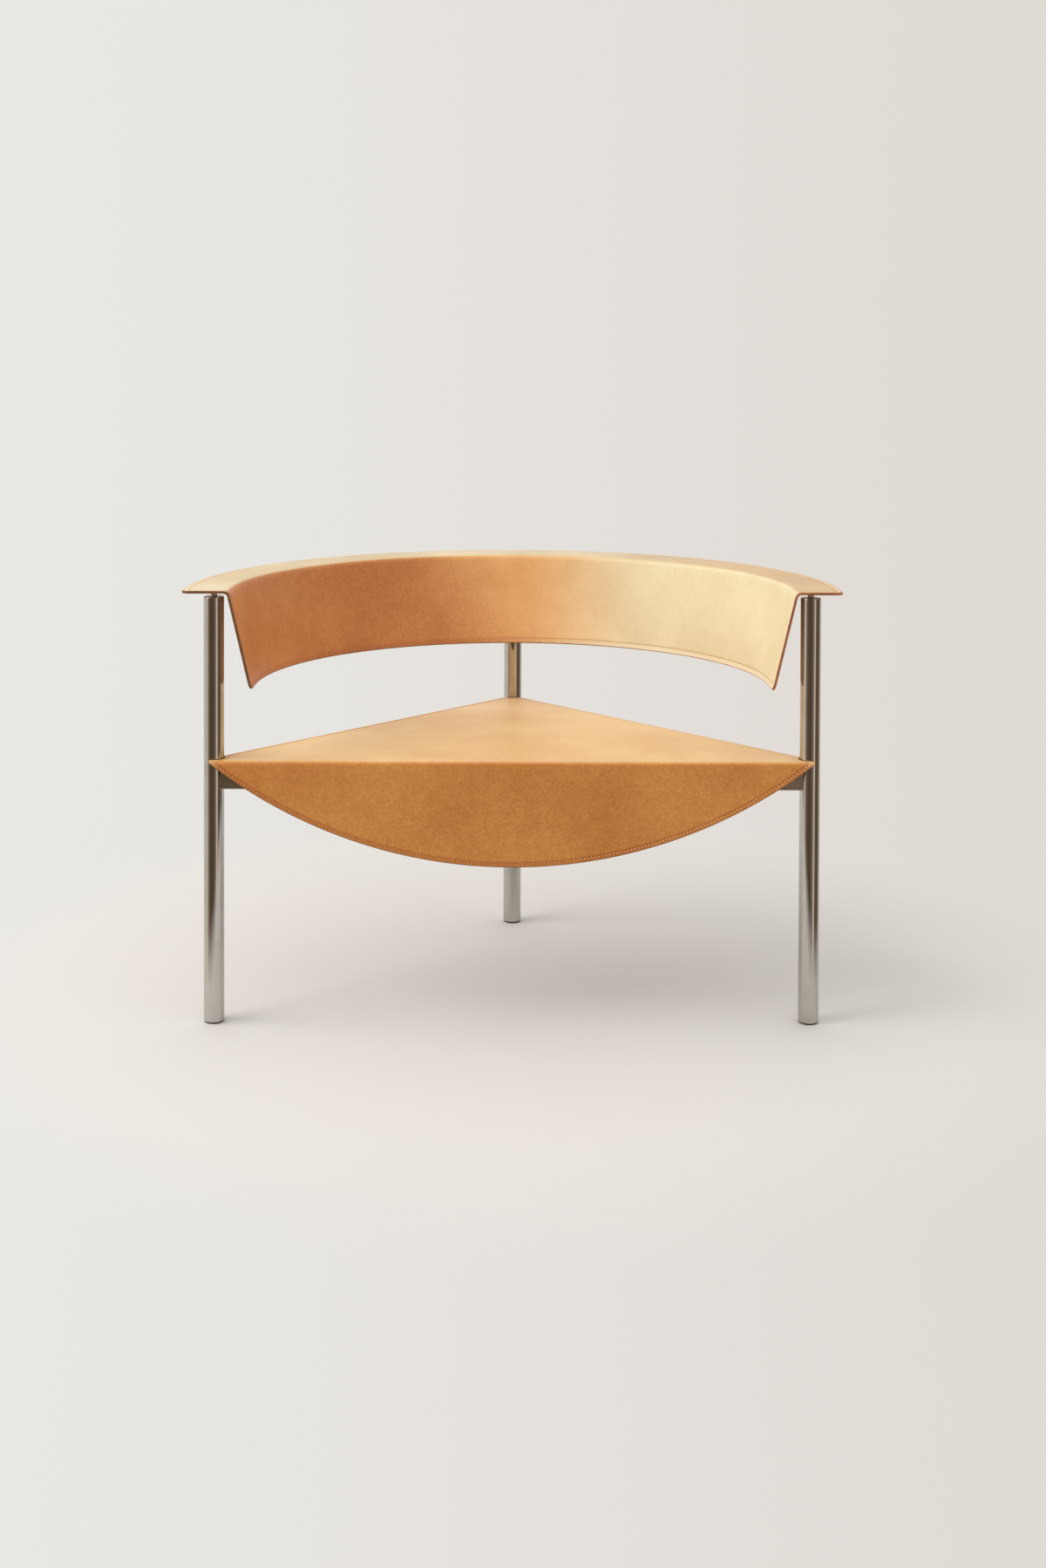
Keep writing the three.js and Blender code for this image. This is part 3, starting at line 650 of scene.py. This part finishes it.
class Cut:
    """A flat cut of leather, known by its outline, and distances from its cut edge. Its y
    values between the two of bent are those where it bends."""

    def __init__(self, outline, bent):
        loop = softened(even(np.asarray(outline, float), TRACE_STEP), CORNER_SOFTNESS, TRACE_STEP)
        ahead, behind = np.roll(loop, -1, axis=0), np.roll(loop, 1, axis=0)
        area = np.sum(loop[:, 0] * ahead[:, 1] - ahead[:, 0] * loop[:, 1])
        if area < 0:
            loop, ahead, behind = loop[::-1], behind[::-1], ahead[::-1]
        way = ahead - behind
        way /= np.hypot(*way.T)[:, None]
        self.loop = loop
        self.inward = np.column_stack([-way[:, 1], way[:, 0]])
        self.bent = bent
        self.tree = KDTree(len(loop))
        for index, (x, y) in enumerate(loop):
            self.tree.insert((x, y, 0), index)
        self.tree.balance()

    def inset_of(self, points):
        """How far each point lies inside the cut edge, below zero outside."""
        nearest = np.array([self.tree.find((x, y, 0))[1] for x, y in points])
        start = self.loop[nearest]
        best = np.full(len(points), np.inf)
        for neighbour in (-1, 1):
            end = self.loop[(nearest + neighbour) % len(self.loop)]
            way = end - start
            share = np.sum((points - start) * way, axis=1) / np.sum(way * way, axis=1)
            foot = start + np.clip(share, 0, 1)[:, None] * way
            best = np.minimum(best, np.hypot(*(points - foot).T))
        inside = np.sum((points - start) * self.inward[nearest], axis=1) >= 0
        return np.where(inside, best, -best)

    def edge_points(self):
        """Places along the outline, close together where it turns or the leather bends."""
        picked, start, count = [0], 0, len(self.loop)
        while True:
            bent = self.bent[0] <= self.loop[start][1] <= self.bent[1]
            furthest = int((BENT_STEP if bent else LONGEST_STEP) / TRACE_STEP)
            end = start + 1
            while end - start < furthest and end < count:
                chord = self.loop[(end + 1) % count] - self.loop[start]
                between = self.loop[start + 1:end + 1] - self.loop[start]
                off = np.abs(between[:, 0] * chord[1] - between[:, 1] * chord[0])
                if np.max(off) > CHORD_ERROR * np.hypot(*chord):
                    break
                end += 1
            if end >= count:
                return np.array(picked)
            picked.append(end)
            start = end

    def ring(self, picked, inset):
        """Places at one inset from the edge, without those nearer to another stretch."""
        points = self.loop[picked] + self.inward[picked] * inset
        error = RING_ERROR + RING_ERROR_GROWTH * inset
        gap = RING_GAP + RING_GAP_GROWTH * inset
        kept = []
        for point in points[np.abs(self.inset_of(points) - inset) < error]:
            if not kept or np.hypot(*(point - kept[-1])) >= gap:
                kept.append(point)
        return np.array(kept).reshape(-1, 2)

    def triangles(self, columns, rows, holes=()):
        """The cut as points and triangles. A hole is its middle and its radius."""
        picked = self.edge_points()
        edge = self.loop[picked]
        grid = np.array([(x, y) for x in columns for y in rows])
        grid = grid[self.inset_of(grid) > RING_INSETS[-1] + GRID_CLEARANCE]
        free = np.vstack([*(self.ring(picked, inset) for inset in RING_INSETS), grid])
        rims, lines, start = [], [], len(edge)
        for middle, radius in holes:
            free = free[np.hypot(*(free - middle).T) > radius + HOLE_CLEARANCE]
            turn = np.linspace(0, FULL_TURN, HOLE_SIDES, endpoint=False)
            rims.append(middle + radius * np.column_stack([np.cos(turn), np.sin(turn)]))
            sides = range(HOLE_SIDES)
            lines += [(start + side, start + (side + 1) % HOLE_SIDES) for side in sides]
            start += HOLE_SIDES
        points = [Vector(point) for point in np.vstack([edge, *rims, free])]
        only_inside = 1
        made = delaunay_2d_cdt(points, lines, [list(range(len(edge)))], only_inside, CDT_ERROR)
        flat, faces = np.array([tuple(point) for point in made[0]]), np.array(made[2])
        for middle, radius in holes:
            centres = flat[faces].mean(axis=1)
            faces = faces[np.hypot(*(centres - middle).T) > radius * HOLE_SHARE]
        return flat, faces


def covered_area(flat, faces, stretch):
    """The area that a cut's triangles cover in place, in square metres."""
    first, second, third = (flat[faces[:, corner]] for corner in range(3))
    one, other = second - first, third - first
    doubled = np.abs(one[:, 0] * other[:, 1] - one[:, 1] * other[:, 0])
    scale = stretch((first + second + third) / 3)
    return float(np.sum(doubled * scale)) / 2 * MM * MM


def swell(points, seed):
    """Slow waves in the leather, from 0 to 1, the same each time."""
    return np.array([
        0.5 + 0.5 * noise.noise((x / WAVE_LENGTH, y / WAVE_LENGTH, seed)) for x, y in points
    ])


def face_sink(inset, crease):
    """How far a finished face lies below its highest level, at an inset from the edge."""
    short = EDGE_ROUND - np.clip(inset, 0, EDGE_ROUND)
    sink = EDGE_ROUND - np.sqrt(np.maximum(EDGE_ROUND ** 2 - short ** 2, 0))
    sink += SEAM_SINK * np.exp(-(((inset - SEAM_INSET) / SEAM_HALF_WIDTH) ** 2))
    sink += CREASE_SINK * np.exp(-(((inset - crease) / CREASE_HALF_WIDTH) ** 2))
    return sink


def shell(name, flat, faces, front, back, place, inset, **made_with):
    """A closed body between two depths below the face, with walls along its cut edges."""
    count = len(flat)
    vertices = np.vstack([place(flat, front), place(flat, back)])
    edges = np.vstack([faces[:, [0, 1]], faces[:, [1, 2]], faces[:, [2, 0]]])
    both_ways = {tuple(edge) for edge in edges.tolist()}
    walls = [
        (b, a, a + count, b + count) for a, b in edges.tolist() if (b, a) not in both_ways
    ]
    all_faces = faces.tolist() + (faces[:, ::-1] + count).tolist() + walls
    made = piece(name, vertices, [face[::-1] for face in all_faces], **made_with)
    attribute = made.data.attributes.new("from_edge", "FLOAT", "POINT")
    attribute.data.foreach_set("value", np.concatenate([inset, inset]).astype(np.float32))
    return made


# Stitching


def seam_runs(cut, stretch, skip):
    """The seam's line round a cut, as runs of evenly spaced stitch middles and directions."""
    line = cut.loop + cut.inward * SEAM_INSET
    true = np.abs(cut.inset_of(line) - SEAM_INSET) < SEAM_ERROR
    true &= ~np.array([skip(point) for point in line])
    start = int(np.argmin(true)) if not true.all() else 0
    order = np.roll(np.arange(len(line)), -start)
    runs, run = [], []
    for point in line[order[true[order]]]:
        if run and np.hypot(*(point - run[-1])) > SEAM_BREAK:
            runs.append(np.array(run))
            run = []
        run.append(point)
    runs.append(np.array(run))
    rows = []
    for run in runs:
        scale = stretch(run)
        steps = np.diff(run, axis=0)
        lengths = np.hypot(steps[:, 0] * (scale[1:] + scale[:-1]) / 2, steps[:, 1])
        along = np.concatenate([[0], np.cumsum(lengths)])
        count = int(along[-1] // STITCH_PITCH)
        if count < 1:
            continue
        places = (np.arange(count) + 0.5) * along[-1] / count
        middles = points_at(places, along, run)
        quarter = STITCH_LENGTH / 4
        ways = points_at(places + quarter, along, run) - points_at(places - quarter, along, run)
        ways = ways * np.column_stack([stretch(middles), np.ones(count)])
        rows.append((middles, ways / np.hypot(*ways.T)[:, None]))
    return rows


def stitching(name, cut, place, stretch, level, outward, skip):
    """Every stitch of a seam: a short thick thread, slanted, that dives in at both ends."""
    faces, flats, depths = [], [], []
    turn = np.linspace(0, FULL_TURN, STITCH_SIDES, endpoint=False)
    slant = STITCH_SLANT * outward
    for middles, ways in seam_runs(cut, stretch, skip):
        for middle, way, scale in zip(middles, ways, stretch(middles)):
            along = np.array([
                way[0] * math.cos(slant) - way[1] * math.sin(slant),
                way[0] * math.sin(slant) + way[1] * math.cos(slant)])
            across = np.array([-along[1], along[0]])
            start = len(flats) * STITCH_SIDES
            for share, width, lift in STITCH_RINGS:
                reach = along * share * STITCH_LENGTH / 2
                round_it = np.outer(np.cos(turn), across) * STITCH_RADIUS * width
                flats.append(middle + (reach + round_it) / np.array([scale, 1]))
                height = STITCH_RADIUS * (lift + STITCH_FLATNESS * width * np.sin(turn))
                depths.append(level - outward * height)
            for ring in range(len(STITCH_RINGS) - 1):
                for side in range(STITCH_SIDES):
                    after = (side + 1) % STITCH_SIDES
                    a = start + ring * STITCH_SIDES
                    b = a + STITCH_SIDES
                    faces.append((a + side, a + after, b + after, b + side))
            last = start + (len(STITCH_RINGS) - 1) * STITCH_SIDES
            faces.append([start + side for side in range(STITCH_SIDES)][::-1])
            faces.append([last + side for side in range(STITCH_SIDES)])
    vertices = place(np.vstack(flats), np.concatenate(depths))
    if outward < 0:
        faces = [face[::-1] for face in faces]
    return piece(name, vertices, faces, "thread", None)


# A covered plate: its face leather, its lining and the seam through both


def steps_between(start, end, step):
    count = max(1, int(math.ceil(abs(end - start) / step)))
    return np.linspace(start, end, count + 1)


def grid_lines(*stretches):
    """The values of a grid's lines, from stretches that each have a start, an end and a step."""
    return np.unique(np.concatenate([steps_between(*stretch) for stretch in stretches]))


def cover(part, cut, grid, holes, place, stretch, *, thickness, crease, seed,
          skip=lambda point: False):
    """Both leathers of a part and their stitching. The grid is its columns and rows, and the
    holes are the lining's. Place bends the flat cut, and stretch is how long it really is
    there for each millimetre of the flat run."""
    flat, faces = cut.triangles(*grid)
    area = covered_area(flat, faces, stretch)
    inset = np.maximum(cut.inset_of(flat), 0)
    away = np.clip((inset - crease) / WAVE_FADE, 0, 1)
    wave = WAVE_HEIGHT * swell(flat, seed) * away
    face = shell(
        f"{part}_face_leather", flat, faces, face_sink(inset, crease) + wave,
        np.full(len(flat), FACE_DEPTH), place, inset,
        material=f"{part}_face", slot="saddle_leather", replaced=[f"{part}_leather_face"])
    flat, faces = cut.triangles(*grid, holes)
    inset = np.maximum(cut.inset_of(flat), 0)
    pocket = np.clip((inset - POCKET_START) / (POCKET_END - POCKET_START), 0, 1)
    inner = LINING_DEPTH + (thickness - LINING_LEFT - LINING_DEPTH) * pocket
    lining = shell(
        f"{part}_lining_hide", flat, faces, inner, thickness - face_sink(inset, crease),
        place, inset,
        material=f"{part}_lining", slot="lining_hide", replaced=[f"{part}_leather_lining"])
    stitching(f"{part}_stitching_face", cut, place, stretch, SEAM_SINK, 1, skip)
    stitching(f"{part}_stitching_lining", cut, place, stretch, thickness - SEAM_SINK, -1, skip)


# Seat: one sheet that folds down over the front as the apron

FOLD_Y = APRON_FRONT + SEAT_FOLD_RADIUS
FOLD_ARC = SEAT_FOLD_RADIUS * QUARTER_TURN
APRON_DROP = SEAT_TOP - APRON_BOTTOM
APRON_TIP_X = LEG_X + APRON_TIP_OVERHANG
APRON_RADIUS = (APRON_TIP_X ** 2 + APRON_DROP ** 2) / (2 * APRON_DROP)
SEAT_WAVE_SEED = 3.3


def seat_place(flat, depth):
    """Bends the flat seat into place: x stays, y runs forwards from the fold's start."""
    x, run = flat[:, 0], flat[:, 1]
    angle = np.clip(run / SEAT_FOLD_RADIUS, 0, QUARTER_TURN)
    reach = SEAT_FOLD_RADIUS - depth
    y = FOLD_Y - reach * np.sin(angle) + np.maximum(-run, 0)
    fallen = np.maximum(run - FOLD_ARC, 0)
    z = SEAT_TOP - SEAT_FOLD_RADIUS + reach * np.cos(angle) - fallen
    return np.column_stack([x, y, z])


def seat_stretch(flat):
    return np.ones(len(flat))


def run_at_y(y):
    """Where a point of the seat's top lies on the flat cut."""
    past = np.clip((FOLD_Y - y) / SEAT_FOLD_RADIUS, 0, 1)
    return np.where(y > FOLD_Y, FOLD_Y - y, SEAT_FOLD_RADIUS * np.arcsin(past))


def run_at_z(z):
    """Where a point of the fold or the apron lies on the flat cut."""
    up = (z - SEAT_TOP + SEAT_FOLD_RADIUS) / SEAT_FOLD_RADIUS
    fold = SEAT_FOLD_RADIUS * np.arccos(np.clip(up, 0, 1))
    return fold + np.maximum(-up, 0) * SEAT_FOLD_RADIUS


def seat_outline():
    """The cut edge: rear end, straight side, notch round a front leg, tip and apron's arc."""
    rear_half = SEAT_REAR_WIDTH / 2
    side = math.atan2(SEAT_REAR - LEG_LINE, rear_half - LEG_X)
    notch = LEG_RADIUS + NOTCH_CLEARANCE
    end = APRON_TIP_X - TIP_CUT
    last = FULL_TURN - math.acos((end - LEG_X) / notch)
    turn = np.linspace(side, last, NOTCH_POINTS)
    notch_run = run_at_y(LEG_LINE + notch * np.sin(turn))
    tip = math.asin(APRON_TIP_X / APRON_RADIUS)
    swing = tip * (1 - np.linspace(0, 1, APRON_POINTS) ** 2)
    apron_x = np.minimum(APRON_RADIUS * np.sin(swing), end)
    apron_z = APRON_BOTTOM + APRON_RADIUS * (1 - np.cos(swing))
    right = np.vstack([
        [(rear_half, run_at_y(SEAT_REAR))],
        np.column_stack([LEG_X + notch * np.cos(turn), notch_run]),
        [(end, 0)],
        np.column_stack([apron_x, run_at_z(apron_z)])[1:],
    ])
    left = right[-2::-1] * (-1, 1)
    return np.vstack([right, left])


def in_front_of_leg(point):
    low, high = UNSTITCHED_RUN
    return abs(point[0]) > LEG_X - LEG_RADIUS and low < point[1] < high


def make_seat():
    cut = Cut(seat_outline(), (-BENT_MARGIN, FOLD_ARC + BENT_MARGIN))
    rear, bottom = float(run_at_y(SEAT_REAR)), float(run_at_z(APRON_BOTTOM))
    columns = grid_lines((-APRON_TIP_X, APRON_TIP_X, GRID_STEP))
    rows = grid_lines(
        (rear, 0, GRID_STEP), (0, FOLD_ARC, BENT_STEP), (FOLD_ARC, bottom, GRID_STEP))
    nuts = [middle_of(f"seat_nut_{screw}") for screw in SCREWS]
    holes = [(np.array([nut.x, float(run_at_y(nut.y))]), NUT_HOLE_RADIUS) for nut in nuts]
    cover(
        "seat", cut, (columns, rows), holes, seat_place, seat_stretch,
        thickness=SEAT_THICKNESS, crease=SEAT_CREASE, seed=SEAT_WAVE_SEED,
        skip=in_front_of_leg)


# Band: one section carried round the half circle and out along both arms

BEND_CENTRE = LEG_X - BEND_INSET
RIM_WIDTH = RIM_RADIUS - BEND_CENTRE
BEND_TURN = QUARTER_TURN - SKIRT_LEAN
BEND_ARC = BEND_RADIUS * BEND_TURN
BEND_END = RIM_WIDTH + BEND_ARC
SECTION_LENGTH = BEND_END + SKIRT_LENGTH
ARM_LENGTH = ARM_BACK - ARM_FRONT
ROUND_LENGTH = math.pi * RIM_RADIUS
BAND_RUN = 2 * ARM_LENGTH + ROUND_LENGTH
BAND_WAVE_SEED = 7.1


def band_section(across, depth):
    """Reach from the middle and height of the section, across from the rim's outer edge."""
    angle = np.clip((across - RIM_WIDTH) / BEND_RADIUS, 0, BEND_TURN)
    reach = BEND_RADIUS - depth
    fallen = np.maximum(across - BEND_END, 0)
    flat_rim = np.maximum(RIM_WIDTH - across, 0)
    out = BEND_CENTRE - reach * np.sin(angle) + flat_rim - fallen * math.sin(SKIRT_LEAN)
    up = BACK_TOP - BEND_RADIUS + reach * np.cos(angle) - fallen * math.cos(SKIRT_LEAN)
    return out, up


def band_place(flat, depth):
    """Bends the flat band into place: it runs from the left arm's front to the right's."""
    run, across = flat[:, 0], flat[:, 1]
    out, up = band_section(across, depth)
    turn = np.clip((run - ARM_LENGTH) / RIM_RADIUS, 0, math.pi)
    before = np.maximum(ARM_LENGTH - run, 0)
    after = np.maximum(run - ARM_LENGTH - ROUND_LENGTH, 0)
    x = out * np.cos(turn)
    y = ARM_BACK + out * np.sin(turn) - before - after
    return np.column_stack([x, y, up])


def band_stretch(flat):
    run, across = flat[:, 0], flat[:, 1]
    out, _ = band_section(across, np.zeros(len(flat)))
    round_it = (run > ARM_LENGTH) & (run < ARM_LENGTH + ROUND_LENGTH)
    return np.where(round_it, out / RIM_RADIUS, 1)


def band_outline():
    def corner(x, y, radius, start):
        turn = np.linspace(start, start + QUARTER_TURN, CORNER_POINTS)
        return np.column_stack([x + radius * np.cos(turn), y + radius * np.sin(turn)])

    rim, skirt = RIM_CORNER_RADIUS, SKIRT_CORNER_RADIUS
    return np.vstack([
        corner(rim, rim, rim, math.pi),
        corner(BAND_RUN - rim, rim, rim, -QUARTER_TURN),
        corner(BAND_RUN - skirt, SECTION_LENGTH - skirt, skirt, 0),
        corner(skirt, SECTION_LENGTH - skirt, skirt, QUARTER_TURN),
    ])


def on_flat_band(place):
    """Where a place on the rim lies on the flat cut."""
    behind = place.y - ARM_BACK
    out = math.hypot(place.x, max(behind, 0))
    run = ARM_LENGTH + RIM_RADIUS * math.atan2(max(behind, 0), place.x)
    if behind < 0:
        run = ARM_LENGTH + behind if place.x > 0 else ARM_LENGTH + ROUND_LENGTH - behind
    return np.array([run, RIM_RADIUS - out])


def make_band():
    cut = Cut(band_outline(), (RIM_WIDTH - BENT_MARGIN, BEND_END + BENT_MARGIN))
    columns = grid_lines(
        (0, ARM_LENGTH, GRID_STEP), (ARM_LENGTH, BAND_RUN - ARM_LENGTH, CURVED_GRID_STEP),
        (BAND_RUN - ARM_LENGTH, BAND_RUN, GRID_STEP))
    rows = grid_lines(
        (0, RIM_WIDTH, GRID_STEP), (RIM_WIDTH, BEND_END, BENT_STEP),
        (BEND_END, SECTION_LENGTH, GRID_STEP))
    studs = [middle_of(f"band_stud_{leg}") for leg in LEGS]
    holes = [(on_flat_band(stud), STUD_HOLE_RADIUS) for stud in studs]
    cover(
        "back", cut, (columns, rows), holes, band_place, band_stretch,
        thickness=BACK_THICKNESS, crease=BAND_CREASE, seed=BAND_WAVE_SEED)


# Turned hardware. Each profile starts from a CAD node's radius, bottom and top


def rounded_corner(radius, end, chamfer):
    """From a turned body's end, round its outer corner, to its wall. The chamfer is below
    zero at a top end."""
    size = abs(chamfer)
    return [
        (radius - size, end), (radius - size * ROUNDING, end + chamfer * ROUNDING),
        (radius, end + chamfer),
    ]


def leg_profile(radius, low, high):
    bore, straight = radius - LEG_WALL, LEG_CHAMFER + LEG_LOOP
    return [
        (bore, low), *rounded_corner(radius, low, LEG_CHAMFER), (radius, low + straight),
        (radius, high - straight), *rounded_corner(radius, high, -LEG_CHAMFER)[::-1],
        (bore, high), (bore, low),
    ]


def plug_profile(radius, low, high):
    bore, bevel = STUD_HOLE_RADIUS, PLUG_BEVEL
    return [
        (bore, low), (radius, low), (radius, high - bevel), (radius - bevel, high),
        (bore + bevel, high), (bore, high - bevel), (bore, low),
    ]


def collar_profile(radius, low, high):
    bore = STUD_HOLE_RADIUS
    return [
        (bore, low), *rounded_corner(radius, low, COLLAR_BEVEL),
        *rounded_corner(radius, high, -COLLAR_BEVEL)[::-1], (bore, high), (bore, low),
    ]


def glide_profile(radius, low, high):
    stem, top = LEG_RADIUS - LEG_WALL - STEM_GAP, low + GLIDE_THICKNESS
    return [
        (0, low), *((radius - inward, low + up) for inward, up in GLIDE_FOOT),
        *((radius - inward, top - down) for inward, down in GLIDE_SHOULDER), (stem, top),
        (stem, high - STEM_BEVEL), (stem - STEM_BEVEL, high), (0, high),
    ]


def screw_profile(radius, low, high):
    def hexagon(angle):
        sixth = math.pi / 3
        return SOCKET_WIDTH / 2 / math.cos(angle % sixth - sixth / 2)

    top, socket = low + SCREW_HEAD_HEIGHT, low + SOCKET_DEPTH
    dome = [(radius * share, low + SCREW_HEAD_HEIGHT * rise) for share, rise in SCREW_DOME]
    return [
        (0, socket), (hexagon, socket), (hexagon, low), *dome, (radius, top),
        (SHANK_RADIUS, top), (SHANK_RADIUS, high), (0, high),
    ]


# What stands for a CAD node: its name here, profile, material, slot, sides and the most
# that two faces turn and still look smooth, in degrees
TURNED = {
    "leg": ("leg_tube", leg_profile, "polished", "polished_steel", 128, 40),
    "leg_plug": ("leg_top_plug", plug_profile, "polished", "polished_steel", 96, 40),
    "band_collar": ("back_collar", collar_profile, "polished", "polished_steel", 64, 50),
    "foot_glide": ("foot_glide_pad", glide_profile, "plastic", "glide_plastic", 96, 40),
    "seat_screw": ("seat_bolt", screw_profile, "zinc", "zinc_steel", 60, 35),
}


def make_turned(kind, side):
    name, profile_from, material, slot, sides, smooth_to = TURNED[kind]
    node = f"{kind}_{side}"
    low, high = frame_box(node)
    profile = profile_from((high.x - low.x) / 2, low.z, high.z)
    vertices, faces = turned(profile, (low + high) / 2, sides)
    piece(f"{name}_{side}", vertices, faces, material, slot, [node], smooth_to)


# Stage, lights and camera

# The floor: half its width and its place under the feet, where it fades, in metres, and
# its colour as it is seen and as it lights the chair from below
FLOOR_HALF, FLOOR_LEVEL, FLOOR_FADE = 2.4, -0.0002, (0.6, 1.0)
FLOOR_TONES = (screen(216, 213, 209), screen(140, 138, 135))
FLOOR_ROUGHNESS, FLOOR_SPECULAR = 0.7, 0.2

# The world: a tone, and the range of a direction's part over which it takes over
# The backdrop darkens a little to the right, painted light falling off away from the window.
BACKDROP_TONES, BACKDROP_X = (screen(233, 232, 228), screen(224, 218, 212)), (-0.3, 0.3)
MIRRORED_BACKDROP_Y = (0.2, 0.65)
MIRRORED_CEILING, MIRRORED_CEILING_Z = (0.75, 0.74, 0.72, 1), (0.45, 0.8)
LIGHT_IN_FRONT, LIGHT_BEHIND = (0.6, 0.59, 0.575, 1), (1.0, 0.985, 0.96, 1)
LIGHT_BEHIND_Y = (-0.1, 0.6)
LIGHT_ABOVE, LIGHT_ABOVE_Z = (1.02, 1.01, 0.99, 1), (-0.1, 0.9)

# What polished metal mirrors of the studio: bearings in degrees from straight ahead of
# the chair, growing towards the chair's left, with the light that comes from there. The
# first two are the ends of the ramp
ROOM_LEVELS = (
    (-180, (0.86, 0.84, 0.81)), (180, (0.86, 0.84, 0.81)), (-122, (0.86, 0.82, 0.76)),
    (-96, (0.84, 0.76, 0.68)), (-84, (0.76, 0.67, 0.58)), (-62, (0.74, 0.65, 0.56)),
    (-52, (0.24, 0.18, 0.125)), (-30, (0.14, 0.1, 0.063)), (-6, (0.115, 0.08, 0.047)),
    (8, (0.14, 0.1, 0.07)), (20, (0.26, 0.2, 0.16)), (33, (0.34, 0.27, 0.22)),
    (37, (0.94, 0.8, 0.69)), (47, (0.86, 0.72, 0.61)), (53, (0.2, 0.14, 0.1)),
    (80, (0.14, 0.1, 0.065)), (100, (0.2, 0.15, 0.12)), (112, (0.46, 0.4, 0.35)),
    (140, (0.74, 0.7, 0.66)),
)


def make_floor():
    """A pale floor that keeps the chair's shadow and fades out into the backdrop."""
    paint = Paint("studio_floor")
    away = paint.add("ShaderNodeVectorMath", {0: paint.place}, operation="LENGTH")
    clear = paint.span(away.outputs["Value"], *FLOOR_FADE)
    path = paint.add("ShaderNodeLightPath")
    paint.set(
        Base_Color=paint.mix(path.outputs["Is Diffuse Ray"], *FLOOR_TONES),
        Roughness=FLOOR_ROUGHNESS,
        Specular_IOR_Level=FLOOR_SPECULAR,
    )
    through = paint.add("ShaderNodeBsdfTransparent")
    surfaces = {0: clear, 1: paint.shader.outputs["BSDF"], 2: through.outputs["BSDF"]}
    mixed = paint.add("ShaderNodeMixShader", surfaces)
    output = paint.tree.nodes["Material Output"]
    paint.feed(output.inputs["Surface"], mixed.outputs["Shader"])
    mesh = bpy.data.meshes.new("studio_floor")
    half, level = FLOOR_HALF, FLOOR_LEVEL
    corners = [(x * half, y * half, level) for x, y in ((-1, -1), (1, -1), (1, 1), (-1, 1))]
    mesh.from_pydata(corners, [], [(0, 1, 2, 3)])
    mesh.materials.append(paint.material)
    floor = bpy.data.objects.new("studio_floor", mesh)
    bpy.context.scene.collection.objects.link(floor)


def make_world():
    """The backdrop for the camera, the studio for glossy rays, and soft light for the rest."""
    world = bpy.data.worlds.new("studio")
    bpy.context.scene.world = world
    world.use_nodes = True
    world.node_tree.nodes.clear()
    sky = Nodes(world.node_tree, "Generated")
    x, y, z = (sky.axis(name) for name in "XYZ")
    backdrop = sky.mix(sky.span(x, *BACKDROP_X), *BACKDROP_TONES)
    bearing = sky.math("ARCTAN2", x, sky.math("MULTIPLY", y, -1.0))
    inputs = {"Value": bearing, "From Min": -math.pi, "From Max": math.pi}
    turn = sky.add("ShaderNodeMapRange", inputs)
    walls = sky.add("ShaderNodeValToRGB", {"Fac": turn.outputs["Result"]})
    stops = walls.color_ramp.elements
    for place, (degrees, level) in enumerate(ROOM_LEVELS):
        share = (degrees + 180) / 360
        stop = stops[place] if place < 2 else stops.new(share)
        stop.position = share
        stop.color = (*level, 1)
    room = sky.mix(sky.span(y, *MIRRORED_BACKDROP_Y), walls.outputs["Color"], backdrop)
    room = sky.mix(sky.span(z, *MIRRORED_CEILING_Z), room, MIRRORED_CEILING)
    around = sky.mix(sky.span(y, *LIGHT_BEHIND_Y), LIGHT_IN_FRONT, LIGHT_BEHIND)
    ambient = sky.mix(sky.span(z, *LIGHT_ABOVE_Z), around, LIGHT_ABOVE)
    path = sky.add("ShaderNodeLightPath")
    seen = sky.mix(path.outputs["Is Glossy Ray"], ambient, room)
    shown = sky.mix(path.outputs["Is Camera Ray"], seen, backdrop)
    light = sky.add("ShaderNodeBackground", {"Color": shown})
    sky.add("ShaderNodeOutputWorld", {"Surface": light.outputs["Background"]})


def make_window():
    """The one lamp: a large soft window, high on the photograph's left."""
    lamp = bpy.data.lights.new("window", "AREA")
    lamp.shape = "RECTANGLE"
    lamp.size, lamp.size_y = 3.0, 2.4
    lamp.energy = 98
    lamp.color = (1.0, 0.99, 0.97)
    holder = bpy.data.objects.new("window", lamp)
    place, aim = Vector((-3.4, -1.0, 3.0)), Vector((0, 0, 0.45))
    holder.location = place
    holder.rotation_euler = (aim - place).to_track_quat("-Z", "Y").to_euler()
    bpy.context.scene.collection.objects.link(holder)


def make_camera():
    """The photograph's viewpoint: eye height, far back, with a shifted lens."""
    camera = bpy.data.cameras.new("camera")
    camera.lens = 42.74
    camera.shift_y = -0.26
    holder = bpy.data.objects.new("camera", camera)
    holder.location = (0.00414, -2.9513, 1.0131)
    pitch, roll, heading = 0.0243, -0.0033, 0.0036
    holder.rotation_euler = (QUARTER_TURN - pitch, roll, -heading)
    bpy.context.scene.collection.objects.link(holder)
    bpy.context.scene.camera = holder


make_camera()
make_floor()
make_world()
make_window()
bpy.context.scene.view_settings.view_transform = "Standard"

make_seat()
make_band()
for leg_side in LEGS:
    for kind in ("leg", "leg_plug", "band_collar", "foot_glide"):
        make_turned(kind, leg_side)
for screw_side in SCREWS:
    make_turned("seat_screw", screw_side)

CARRIED = {
    "crossbar_front": "crossbar",
    "spine_bar": "spine",
    "seat_core_plate": "core",
    "back_core_band": "core",
    **{f"band_stud_{side}": "zinc" for side in LEGS},
    **{f"seat_nut_{side}": "zinc" for side in SCREWS},
}
for node, finish in CARRIED.items():
    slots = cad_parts[node].data.materials
    slots.clear()
    slots.append(MATERIALS[finish])
